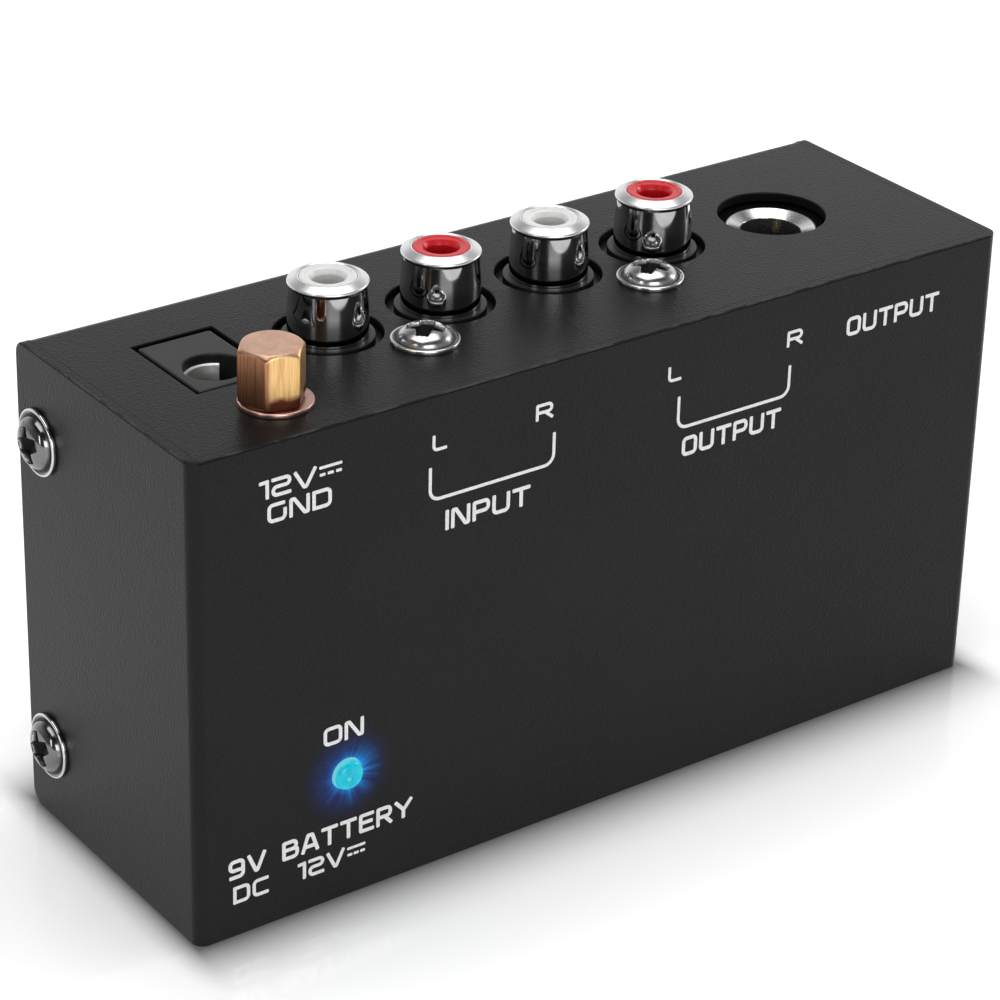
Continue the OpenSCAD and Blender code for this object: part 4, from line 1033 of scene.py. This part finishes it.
class PREAMP_OT_power(bpy.types.Operator):
    """Build the body and the sprung sleeve of the power socket"""
    bl_idname = "preamp.power"
    bl_label = "Power socket"

    def execute(self, context):
        p = sizes("power")
        low, high = corners("power_socket")
        axis = axis_of("power_pin")[0], corners("power_pin")[0][1] + p.pin_foot
        box = dense(rectangle(low[0], high[0], low[1], high[1], 0.35, 5), 0.3)
        around = box - axis
        around /= np.linalg.norm(around, axis=1)[:, None]
        face = CASE_HIGH[2] - p.sunk
        below, bottom = face - 0.3, face - p.depth

        def hole(radius, z):
            """A circle whose points stand in the directions of the body's outline."""
            return level(axis + radius * around, z)

        def side(set_in, z):
            """The body's outline."""
            return level(box - mitre(box) * set_in, z)

        rings = [hole(p.bore, low[2]), hole(p.bore, bottom), hole(p.mouth, bottom),
                 hole(p.mouth, below)]
        rings += [hole(p.mouth + set_in, face - depth) for set_in, depth in rim(p.edge)[::-1]]
        rings += [hole(p.mouth + 0.25, face), side(0.3, face)]
        rings += [side(set_in, face - depth) for set_in, depth in rim(p.edge)]
        rings += [side(0, below), side(0, low[2])]
        piece("power_socket_body", [loft(rings, closed=True)], "black_plastic", "power_socket")
        # Sleeve: an open ring, whose section tapers inwards from its upper end.
        section = np.array([(2.93, 1.0), (2.78, 1.15), (2.7, 9.8), (p.sleeve, 9.8),
                            (p.sleeve, 1.15), (p.sleeve, 1.0)])
        t = np.radians(np.linspace(48, 310, 60))[:, None]
        rings = np.stack([axis[0] + section[:, 0] * np.cos(t), axis[1] + section[:, 0] * np.sin(t),
                          face - section[:, 1] + 0 * t], -1)
        sleeve, faces = loft(rings)
        n = rings.shape[1]
        caps = [list(range(n)), list(range(len(sleeve) - 1, len(sleeve) - n - 1, -1))]
        plated("sleeve_metal", (0.96, 0.96, 0.95), 0.5)
        piece("power_socket_sleeve", [(sleeve, [*faces.tolist(), *caps])], "bright_metal",
              "power_spring", material=finish("sleeve_metal"))
        return {"FINISHED"}


class PREAMP_OT_phone(bpy.types.Operator):
    """Build the funnel ring of the quarter inch socket"""
    bl_idname = "preamp.phone"
    bl_label = "Quarter inch socket"

    def execute(self, context):
        low, high = corners("phone_ring")
        radius, bore, funnel = (high[0] - low[0]) / 2, 3.25, 0.6
        ring = ((bore, low[2], 0), (radius, low[2], 0), (radius, high[2], 0.08),
                (radius - 0.25, high[2], 0.12), (bore, high[2] - funnel, 0.12))
        piece("phone_funnel_ring", [lathe(ring, (*axis_of("phone_ring"), 0), arc=6)],
              "bright_metal", "phone_ring")
        return {"FINISHED"}


class PREAMP_OT_terminal(bpy.types.Operator):
    """Build the cap nut and the washer of the ground terminal"""
    bl_idname = "preamp.terminal"
    bl_label = "Ground terminal"

    def execute(self, context):
        t = sizes("terminal")
        low, high = corners("ground_nut")
        height, half = high[2] - low[2], t.flats / 2
        a = np.linspace(0, 2 * np.pi, 360, endpoint=False)
        around = np.stack([np.cos(a), np.sin(a)], 1)

        def ring(reach, z):
            """Points round the axis at one distance, or at one for every direction."""
            return level(axis_of("ground_nut") + np.reshape(reach, (-1, 1)) * around, z)

        # Hexagon: radius = half width / largest |cos| to the three flats' directions, softened
        # by a high power mean; the chamfer cone limits it in the same way.
        sides = np.abs(np.cos(a[:, None] - t.turn - np.radians([30, 90, 150])))
        hexagon = half / (sides ** 80).sum(1) ** (1 / 80)
        shoulder = height - t.chamfer
        z = np.concatenate([[0.0, 0.06, 0.14, 0.24, 0.35], np.linspace(0.5, shoulder - 0.2, 6),
                            np.linspace(shoulder - 0.1, height - 0.06, 10),
                            [height - 0.02, height]])
        cone = np.minimum(half - 0.15 + z * 1.9,
                          half - 0.1 + (height - z) / t.chamfer * (half * 0.2 + 0.1))
        radius = (hexagon[None] ** -30 + np.maximum(cone, 0.1)[:, None] ** -30) ** (-1 / 30)
        radius[-1] -= 0.05
        nut = capped([ring(t.bore, high[2] - t.cap), ring(t.bore, low[2]),
                      *(ring(r, low[2] + h) for r, h in zip(radius, z)),
                      ring(half - 0.6, high[2])])
        piece("ground_cap_nut", [nut], "nut_brass", "ground_nut", body="ground_nut", sharp=50)
        low, high = corners("ground_washer")
        radius, thick = (high[0] - low[0]) / 2, high[2] - low[2]
        washer = ((t.washer_bore, 0, 0), (radius, 0, 0.12), (radius, thick, 0.16),
                  (t.washer_bore, thick, 0.1))
        piece("ground_round_washer", [lathe(washer, (*axis_of("ground_washer"), low[2]), arc=4)],
              "copper_washer", "ground_washer", body="ground_washer")
        return {"FINISHED"}


def screw(at, axis, turn, shank_length):
    """A screw: a pan head whose cross recess is pressed in, a dished flange and a shank. The
    head stands above its foot by its height times (1 - (r / radius) ^ 2.8) ^ 0.5, and the recess
    lowers it, by a smooth step, where an arm of the cross is nearer than half the slot. Returns
    the surface and a mark for every point, which the finish reads to paint shade and highlight:
    how far the point is sunk in the recess, 0 to 1, up to 0.5 for a painted shade ring in the
    groove between head and flange, and -1 for a painted highlight on the flange's rim."""
    s = sizes("screws")
    head, flange, foot = s.head / 2, s.flange / 2, s.base - 0.14
    a = np.linspace(0, 2 * np.pi, 144, endpoint=False)
    reach = 0.66 * head
    r = np.concatenate([np.linspace(0, reach + 0.2, 40),
                        head * (1 - np.linspace(0.21, 0.03, 7) ** 1.15)])[:, None]
    x, y = r * np.cos(a - turn), r * np.sin(a - turn)

    def smooth(v):
        """A smooth step: 3 v squared - 2 v cubed, for v between 0 and 1."""
        v = np.clip(v, 0, 1)
        return v * v * (3 - 2 * v)

    def arm(along, across):
        """1 inside an arm of the cross and 0 outside; the arm narrows outwards."""
        width = s.slot / 2 * (1.25 - 0.5 * np.abs(along) / reach)
        return smooth((width - np.abs(across)) / 0.14 + 0.5) \
            * smooth((reach - np.abs(along)) / 0.16 + 0.5)

    sunk = np.maximum(arm(x, y), arm(y, x)) * np.maximum(s.depth * (1.05 - 0.75 * r / reach), 0.1)
    z = foot + (s.height - foot) * np.sqrt(1 - (r / head) ** 2.8) - sunk
    shank = s.shank / 2
    side = rounded([[head * 0.97, z[-1, 0]], [head, foot], [flange - 0.5, foot + 0.02],
                    [flange - 0.3, s.base], [flange, s.base], [flange, 0], [shank, 0],
                    [shank, -shank_length], [0, -shank_length - 0.4]],
                   [0, 0.06, 0.1, 0.12, 0.16, 0.05, 0, 0.2, 0], 4)[1:]
    shape = (len(side), len(a))
    rr = np.concatenate([np.broadcast_to(r, z.shape), np.broadcast_to(side[:, :1], shape)])
    zz = np.concatenate([z, np.broadcast_to(side[:, 1:], shape)])
    across, up, along = basis(axis)
    ring = np.cos(a)[:, None] * across + np.sin(a)[:, None] * up
    points = np.asarray(at, float) + rr[..., None] * ring + zz[..., None] * along
    # Painted shade ring in the groove between head and flange.
    groove = np.clip(1 - np.abs(side[:, 0] - head - 0.1) / 0.3, 0, 1) * (side[:, 1] > 0.2) * 0.5
    # Painted highlight on the flange's rim.
    groove -= np.clip((side[:, 0] - flange + 0.28) / 0.1, 0, 1) * (side[:, 1] > 0.1)
    return loft(points), np.concatenate([(sunk / s.depth).ravel(), np.repeat(groove, len(a))])


class PREAMP_OT_screws(bpy.types.Operator):
    """Build the flanged screws of the case and of the jack panel"""
    bl_idname = "preamp.screws"
    bl_label = "Screws"

    def execute(self, context):
        y, heights = end_screws()
        turns = iter((0.5, 0.35, 0.9, 0.2))
        ends = [screw((side * CASE_HIGH[0], y, z), (side, 0, 0), next(turns), 4.6)
                for side in (-1, 1) for z in heights]
        jacks = [screw((*at, CASE_HIGH[2]), (0, 0, 1), turn, 6.6)
                 for at, turn in zip(jack_screws(), (0.78, 0.62))]
        for name, group in (("end_screw", ends), ("jack_screw", jacks)):
            piece(name + "_heads", [shell for shell, _ in group], "screw_metal", name + "s",
                  sharp=50, marks=np.concatenate([mark for _, mark in group]))
        return {"FINISHED"}


class PREAMP_OT_lamp(bpy.types.Operator):
    """Build the lamp's lens"""
    bl_idname = "preamp.lamp"
    bl_label = "Lamp"

    def execute(self, context):
        low, high = corners("lamp_lens")
        x, _, z = centre_of("lamp_lens")
        reach = high[1] - low[1]
        a = np.linspace(0, np.pi / 2, 16)
        # A foot ring, a wall, and a nose whose radius falls as the power 0.45 of a cosine.
        wall, nose = 1.7, [(math.cos(t) ** 0.45, math.sin(t)) for t in a]
        lens = [[0, 0], [1.9, 0], [1.9, 0.7], [1.8, 0.8], [wall - 0.01, 0.8],
                *([wall * c, reach - 1.5 + 1.1 * s] for c, s in nose)]
        piece("lamp_round_lens", [turned(lens, (x, high[1], z), (0, -1, 0), steps=64)],
              "lamp_blue", "lamp_lens")
        return {"FINISHED"}


# Pen strokes of each sign on a box one high: the box's width, then each stroke's corners.
SIGNS = {
    "1": (0.3, [[(0.0, 0.98), (0.3, 1)], [(0.3, 1), (0.3, 0)]]),
    "2": (0.76, [[(0, 1), (0.76, 1), (0.76, 0.53), (0, 0.53), (0, 0), (0.76, 0)]]),
    "9": (0.76, [[(0.68, 0.44), (0, 0.44), (0, 1), (0.76, 1), (0.76, 0), (0.04, 0)]]),
    "A": (0.86, [[(0, 0), (0.3, 1), (0.56, 1), (0.86, 0)], [(0.16, 0.28), (0.7, 0.28)]]),
    "B": (0.8, [[(0, 0.53), (0, 1), (0.74, 1), (0.74, 0.53), (0.08, 0.53)],
                [(0.6, 0.53), (0.8, 0.5), (0.8, 0), (0, 0), (0, 0.6)]]),
    "C": (0.76, [[(0.76, 1), (0, 1), (0, 0), (0.76, 0)]]),
    "D": (0.8, [[(0.02, 0), (0.8, 0), (0.8, 1), (0.02, 1)], [(0, 1), (0, 0)]]),
    "E": (0.72, [[(0.72, 1), (0, 1), (0, 0), (0.72, 0)], [(0.1, 0.52), (0.64, 0.52)]]),
    "G": (0.78, [[(0.7, 1), (0, 1), (0, 0), (0.78, 0), (0.78, 0.56)]]),
    "I": (0.0, [[(0, 0), (0, 1)]]),
    "L": (0.66, [[(0, 1), (0, 0), (0.66, 0)]]),
    "N": (0.84, [[(0, 0), (0, 1), (0.16, 1), (0.68, 0), (0.84, 0), (0.84, 1)]]),
    "O": (0.8, [[(0.8, 1), (0.8, 0), (0, 0), (0, 1), (0.8, 1)]]),
    "P": (0.76, [[(0, 0), (0, 1), (0.76, 1), (0.76, 0.42), (0.08, 0.42)]]),
    "R": (0.78, [[(0, 0), (0, 1), (0.76, 1), (0.76, 0.46), (0.08, 0.46)],
                 [(0.42, 0.44), (0.78, 0)]]),
    "T": (0.8, [[(0, 1), (0.8, 1)], [(0.4, 0.96), (0.4, 0)]]),
    "U": (0.78, [[(0, 1), (0, 0), (0.78, 0), (0.78, 1)]]),
    "V": (0.9, [[(0, 1), (0.4, 0), (0.5, 0), (0.9, 1)]]),
    "Y": (0.9, [[(0, 1), (0.45, 0.46), (0.45, 0)], [(0.9, 1), (0.48, 0.46)]]),
    "=": (0.95, [[(0, 0.88), (0.95, 0.88)], [(0.02, 0.42), (0.16, 0.42)],
                 [(0.4, 0.42), (0.55, 0.42)], [(0.79, 0.42), (0.93, 0.42)]]),
    " ": (0.0, []),
}
SHARP, ROUND = 0.08, 0.42                     # radii of the corners of angular and round signs
BLANK, APART = 0.9, 0.28                      # width of a space, and the gap between two signs

# Words on the lettered face: text, left edge, right edge, foot and height, in millimetres.
WORDS = (
    ("12V=", -42.65, -33.4, 47.2, 2.0), ("GND", -41.75, -34.6, 44.55, 2.05),
    ("L", -23.1, -21.4, 46.95, 1.75), ("R", -10.83, -8.72, 46.9, 1.8),
    ("INPUT", -21.44, -11.26, 38.0, 2.2),
    ("L", 5.59, 7.3, 46.8, 1.75), ("R", 21.1, 23.2, 46.8, 1.8), ("OUTPUT", 7.83, 20.86, 37.9, 2.2),
    ("OUTPUT", 29.2, 42.0, 46.0, 2.15), ("ON", -35.5, -30.8, 18.1, 2.1),
    ("9V BATTERY", -46.5, -24.9, 6.65, 2.2), ("DC  12V=", -46.0, -30.5, 3.75, 2.0),
)
BRACKETS = (((-23.3, 45.15), (-23.3, 41.75), (-8.5, 41.75), (-8.5, 45.0)),
            ((7.15, 44.75), (7.15, 41.3), (21.7, 41.3), (21.7, 44.5)))


def bent(points, radius):
    """A path with rounded corners; one that ends where it starts is rounded there too."""
    if np.allclose(points[0], points[-1]):
        loop = rounded(points[:-1], radius, 5, closed=True)
        return np.concatenate([loop, loop[:1]])
    return rounded(points, radius, 5)


class PREAMP_OT_legends(bpy.types.Operator):
    """Print plain legends beside the sockets and the lamp"""
    bl_idname = "preamp.legends"
    bl_label = "Legends"

    def execute(self, context):
        p = sizes("legends")
        strokes = []
        for text, left, right, foot, high in WORDS:
            signs = [SIGNS[sign] for sign in text]
            pen = p.stroke * high / 2.2
            high -= pen
            gap = pen + APART
            blank = text.count(" ") * BLANK
            wide = (right - left - pen - gap * (len(text) - 1) - blank) / sum(w for w, _ in signs)
            x = left + pen / 2
            for sign, (width, paths) in zip(text, signs):
                corner = SHARP if sign in "NTIEYVA1" else ROUND
                for path in paths:
                    path = np.array(path)
                    tight = np.where(path[:, 0] < 0.1, 0.06, corner) if sign in "BPR" else corner
                    strokes.append((bent(path * (wide, high) + (x, foot + pen / 2), tight),
                                    pen * (0.8 if sign == "=" else 1)))
                x += width * wide + gap + (BLANK if sign == " " else 0)
        strokes += [(bent(path, 1.1), p.stroke * 0.84) for path in BRACKETS]
        shells = []
        for i, (path, width) in enumerate(strokes):
            lift = p.ink + 0.003 * (i % 4)

            def on_face(x, z, raised):
                """Flat on the lettered face, the raised points standing out from it."""
                return np.stack([x, CASE_LOW[1] + 0.02 - raised * (lift + 0.02), z], -1)

            shells.append(stroke(path, width, on_face))
        piece("face_legends", shells, material=finish("print_ink"))
        return {"FINISHED"}


def ring_in(x0, x1, y0, y1, height, axis=1, set_in=0.0, radius=0.4, steps=4):
    """A ring round a rectangle with rounded corners, at a height along an axis."""
    return level(rectangle(x0 + set_in, x1 - set_in, y0 + set_in, y1 - set_in,
                           max(radius - set_in, 0.05), steps), height, axis)


class PREAMP_OT_battery(bpy.types.Operator):
    """Build the battery tray, its hinged door and the battery"""
    bl_idname = "preamp.battery"
    bl_label = "Battery tray and door"

    def execute(self, context):
        d = sizes("door")
        door_low, door_high = corners("battery_door")
        # The door's plate starts at its hinge's axis and lies between the hinge's pins.
        door = (door_low[0] + d.knuckle, door_high[0], door_low[2] + d.pin, door_high[2] - d.pin)
        low, high = corners("battery_tray")
        lip = d.flange + d.wall
        well = (low[0] + lip, high[0] - lip, low[2] + lip, high[2] - lip)
        self.tray(d, low, high, well, door)
        self.door(d, high[1], well, door)
        self.battery()
        return {"FINISHED"}

    def tray(self, d, low, high, well, door):
        """Rings from the floor of the well, up its walls, round the opening and the flange, and
        down the outside."""
        under, top = CASE_HIGH[1] + 0.01, high[1]
        x0, x1, z0, z1 = well
        opening = (door[0] - d.knuckle - d.gap, door[1] + d.gap, door[2] - d.gap, door[3] + d.gap)
        flange = (low[0], high[0], low[2], high[2])
        outer = (x0 - d.wall, x1 + d.wall, z0 - d.wall, z1 + d.wall)
        rings = [ring_in(*well, low[1] + d.wall), ring_in(*well, CASE_HIGH[1]),
                 ring_in(*opening, CASE_HIGH[1])]
        rings += [ring_in(*opening, top - depth, set_in=-set_in)
                  for set_in, depth in rim(0.2)[::-1]]
        rings += [ring_in(*flange, top - depth, set_in=set_in, radius=d.corner)
                  for set_in, depth in rim(d.edge)]
        rings += [ring_in(*flange, under, radius=d.corner), ring_in(*outer, under),
                  ring_in(*outer, low[1])]
        piece("battery_tray_frame", [capped(rings)], "tray_plastic", "battery_tray")

    def door(self, d, top, well, door):
        """A plate whose face falls by the grooves' depth less the distance to a groove's line,
        where that is more than nothing, and by a quarter circle at its rims. It has a knuckle
        and pins at the hinge, two ribs over the battery and the latch's tongue."""
        under = CASE_HIGH[1]
        long, wide = door[1] - door[0], door[3] - door[2]
        mid, start = wide / 2, np.array([0, 0.08, 0.2, 0.3])
        s = np.concatenate([start, np.linspace(0.6, long - 20, 6),
                            np.linspace(long - 19.5, long - 0.6, 150), long - start[::-1]])
        t = np.concatenate([start, np.linspace(1, mid - 6, 5),
                            np.linspace(mid - 5.6, mid + 5.6, 57),
                            np.linspace(mid + 6, wide - 1, 5), wide - start[::-1]])
        gx, gz = np.meshgrid(s, t, indexing="ij")
        edge = np.minimum(np.minimum(gx, long - gx), np.minimum(gz, wide - gz))
        fall = d.edge - np.sqrt(np.maximum(d.edge ** 2 - np.maximum(d.edge - edge, 0) ** 2, 0))
        lines = long - 4 - d.pitch * np.arange(5)
        away = np.abs(gx[..., None] - lines).min(-1)
        along = np.maximum(np.abs(gz - mid) - 4.6, 0)
        fall = np.maximum(fall, d.groove - np.sqrt(away ** 2 + along ** 2))
        face = np.stack([door[0] + gx, top - fall, door[2] + gz], -1)
        back = np.stack([door[0] + gx, np.full_like(gx, under), door[2] + gz], -1)
        axis, k = (door[0], top - d.knuckle, door[2]), d.knuckle
        knuckle = turned([[0, 0], [k - 0.15, 0], [k, 0.15], [k, wide - 0.15], [k - 0.15, wide],
                          [0, wide]], axis, steps=32)
        pins = turned([[0, -d.pin], [d.pin, -d.pin], [d.pin, wide + d.pin], [0, wide + d.pin]],
                      axis, steps=24)
        (b0, _, _), (b1, b_top, _) = corners("battery")
        centre, inner, reach = (well[2] + well[3]) / 2, under + 0.05, 8.83
        ribs = [slab((x - 0.75, b_top + 0.2, centre - reach), (x + 0.75, inner, centre + reach))
                for x in ((b0 + b1) / 2 + side * (b1 - b0 + 2.3) / 4 for side in (-1, 1))]
        latch = slab((well[1] - 1.25, corners("battery_door")[0][1], centre - 13),
                     (well[1] - 0.35, inner, centre - 4))
        piece("battery_door_plate", [plate(face, back), knuckle, pins, *ribs, latch],
              "tray_plastic", "battery_door", body="battery_door")

    def battery(self):
        """Rings along the block, set in at both ends by a quarter circle."""
        (x0, y0, z0), (x1, y1, z1) = corners("battery")
        ends = rim(0.6, 4)
        rings = [(x0 + depth, set_in) for set_in, depth in ends]
        rings += [(x1 - depth, set_in) for set_in, depth in ends[::-1]]
        block = [ring_in(y0, y1, z0, z1, x, axis=0, set_in=set_in, radius=1.7, steps=6)
                 for x, set_in in rings]
        piece("battery_block", [capped(block)], "battery_case", "battery")


class PREAMP_OT_feet(bpy.types.Operator):
    """Build the four rubber feet"""
    bl_idname = "preamp.feet"
    bl_label = "Feet"

    def execute(self, context):
        low, high = corners("feet")
        rise, wide, hollow = high[1] - low[1], 4, 0.6
        foot = ((0, 0, 0), (wide, 0, 0.1), (3.5, rise, 0.35), (2.1, rise, 0.2),
                (1.9, rise - hollow, 0.15), (0, rise - hollow, 0))
        at = [(x, low[1], z) for x in (low[0] + wide, high[0] - wide)
              for z in (low[2] + wide, high[2] - wide)]
        piece("rubber_feet",
              [lathe(foot, p, (0, 1, 0), arc=4, closed=False, steps=64) for p in at],
              "foot_rubber", "feet")
        return {"FINISHED"}


# ---------------------------------------------------------------- stage

def soft_box(name, at, aim, size, power):
    """A rectangular lamp at a place, facing a point."""
    data = bpy.data.lights.new(name, "AREA")
    data.shape, data.size, data.size_y = "RECTANGLE", *size
    data.energy = power
    thing = bpy.data.objects.new(name, data)
    thing.location = at
    thing.rotation_euler = (Vector(at) - Vector(aim)).to_track_quat("Z", "Y").to_euler()
    bpy.context.scene.collection.objects.link(thing)


# Lamps: name, place, what they face, size in metres and watts.
LAMPS = (
    ("overhead", (0.0, 0.02, 0.95), (0, 0, 0.03), (1.1, 0.8), 7.6),
    ("left_strip", (-0.7, -0.19, 0.24), (0, 0, 0.05), (0.07, 0.34), 0.6),
    ("right_strip", (0.75, -0.14, 0.26), (0, 0, 0.05), (0.08, 0.3), 1.0),
    ("front_fill", (-0.32, -0.9, 0.26), (0, 0, 0.02), (0.6, 0.4), 3.9),
)
SENSOR = 36.0                                 # width of the camera's picture in the camera
CAMERA_ASIDE = (-0.000513, 0.035727)          # from the origin to the view's axis, in metres
CAMERA_SHIFT = (-0.010, -0.100)


class PREAMP_OT_stage(bpy.types.Operator):
    """Set up the floor, the light and the camera"""
    bl_idname = "preamp.stage"
    bl_label = "Stage"

    def execute(self, context):
        s = sizes("stage")
        self.floor(s)
        self.world()
        for lamp in LAMPS:
            soft_box(*lamp)
        self.camera(s)
        context.scene.view_settings.view_transform = "Standard"
        return {"FINISHED"}

    def floor(self, s):
        """White to the camera and to reflections, with a painted contact shadow, seen by the camera
        only, where a dark box stands on it: away is the distance to the case's footprint, which
        counts more along the case."""
        disc = turned([[0, 0], [20, 0], [200, 0], [s.floor, 0]], (0, 0, 0), steps=96)
        mesh = bpy.data.meshes.new("floor")
        mesh.from_pydata((disc[0] * MM).tolist(), [], disc[1].tolist())
        mesh.validate()
        pale, white, none = (0.78,) * 3, (1.0,) * 3, (0.0,) * 3
        f = Finish("white_floor", Base_Color=pale, Roughness=0.5, Emission_Strength=1.0,
                   Specular_IOR_Level=0.0, Coat_Roughness=0.03, Coat_IOR=1.75)
        camera, *mirrors = [f.add("ShaderNodeLightPath", out=name) for name in
                            ("Is Camera Ray", "Is Glossy Ray", "Is Transmission Ray")]
        seen = camera.math("MAXIMUM", mirrors[0]).math("MAXIMUM", mirrors[1])
        outside = f.vector("ABSOLUTE", f.around())
        outside = f.vector("SUBTRACT", outside, (CASE_HIGH[0], CASE_HIGH[1], 0.0))
        outside = f.vector("MAXIMUM", outside, none)
        away = f.size(f.vector("MULTIPLY", outside, (2.4, 1.0, 1.0)))
        # Painted contact shadow, seen by the camera only.
        contact = (1.0 - away.above(0.0, 10.0)) ** 1.9 * camera
        f.feed(Roughness=0.45 + f.noise(60.0, 2.0) * 0.1,
               Coat_Weight=1.0 - away.above(2.0, 32.0),
               Emission_Color=f.mix(seen * (1.0 - contact * 0.8), none, (0.2,) * 3),
               Base_Color=f.mix(seen, pale, f.mix(contact, white, (0.14,) * 3)))
        mesh.materials.append(f.material)
        floor = bpy.data.objects.new("floor", mesh)
        bpy.context.scene.collection.objects.link(floor)

    def world(self):
        """A room that is darker overhead, behind and on the left."""
        world = bpy.data.worlds.new("studio")
        world.use_nodes = True
        bpy.context.scene.world = world
        sky = Tree(world.node_tree)
        aside, ahead, up = sky.parts(sky.add("ShaderNodeTexCoord", out="Generated"))
        light = (1.0 - up.above(0.28, 0.7) * 0.88) * (0.25 + ahead.above(-0.6, 0.3) * 0.9) \
            * (0.2 + aside.above(-0.9, -0.2) * 0.8)
        back = sky.nodes["Background"].inputs
        sky.give(back["Strength"], light)
        sky.give(back["Color"], (1, 1, 1, 1))

    def camera(self, s):
        """Behind the object's middle along the view, then turned about the view by the roll."""
        across, rise = math.cos(s.elevation), math.sin(s.elevation)
        ca, sa = math.cos(s.azimuth), math.sin(s.azimuth)
        behind = np.array([sa * across, -ca * across, rise])
        right = np.array([ca, sa, 0.0])
        above = np.cross(behind, right)
        c, r = math.cos(s.roll), math.sin(s.roll)
        axes = np.array([c * right + r * above, -r * right + c * above, behind])
        place = axes.T @ np.array([*CAMERA_ASIDE, s.distance * MM])
        camera = bpy.data.cameras.new("camera")
        camera.sensor_width, camera.lens = SENSOR, SENSOR * s.focal / 1000
        camera.shift_x, camera.shift_y = CAMERA_SHIFT
        camera.clip_start, camera.clip_end = 0.01, 20
        thing = bpy.data.objects.new("camera", camera)
        thing.matrix_world = Matrix.Translation(place) @ Matrix(axes.T.tolist()).to_4x4()
        bpy.context.scene.collection.objects.link(thing)
        bpy.context.scene.camera = thing


STEPS = (PREAMP_OT_finishes, PREAMP_OT_case, PREAMP_OT_sockets, PREAMP_OT_power, PREAMP_OT_phone,
         PREAMP_OT_terminal, PREAMP_OT_screws, PREAMP_OT_lamp, PREAMP_OT_legends, PREAMP_OT_battery,
         PREAMP_OT_feet, PREAMP_OT_stage)
GROUPS = (CaseSizes, SocketSizes, PowerSizes, TerminalSizes, ScrewSizes, LegendSizes, DoorSizes,
          FinishColours, StageSizes, PreampSettings)


class PREAMP_PT_panel(bpy.types.Panel):
    """Sizes, colours and steps of the preamplifier"""
    bl_idname = "PREAMP_PT_panel"
    bl_label = "Preamplifier"
    bl_space_type = "VIEW_3D"
    bl_region_type = "UI"
    bl_category = "Preamplifier"

    def draw(self, context):
        for group in type(context.scene.preamp).__annotations__:
            box = self.layout.box()
            box.label(text=group.capitalize())
            settings = getattr(context.scene.preamp, group)
            for key in type(settings).__annotations__:
                box.prop(settings, key)
        for step in STEPS:
            self.layout.operator(step.bl_idname)


def register():
    for kind in (*GROUPS, *STEPS, PREAMP_PT_panel):
        bpy.utils.register_class(kind)
    bpy.types.Scene.preamp = PointerProperty(type=PreampSettings)


def unregister():
    del bpy.types.Scene.preamp
    for kind in reversed((*GROUPS, *STEPS, PREAMP_PT_panel)):
        bpy.utils.unregister_class(kind)


def main():
    """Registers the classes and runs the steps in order."""
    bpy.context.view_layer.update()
    register()
    for step in STEPS:
        group, name = step.bl_idname.split(".")
        getattr(getattr(bpy.ops, group), name)()
    bpy.context.view_layer.update()


if __name__ == "__main__":
    main()
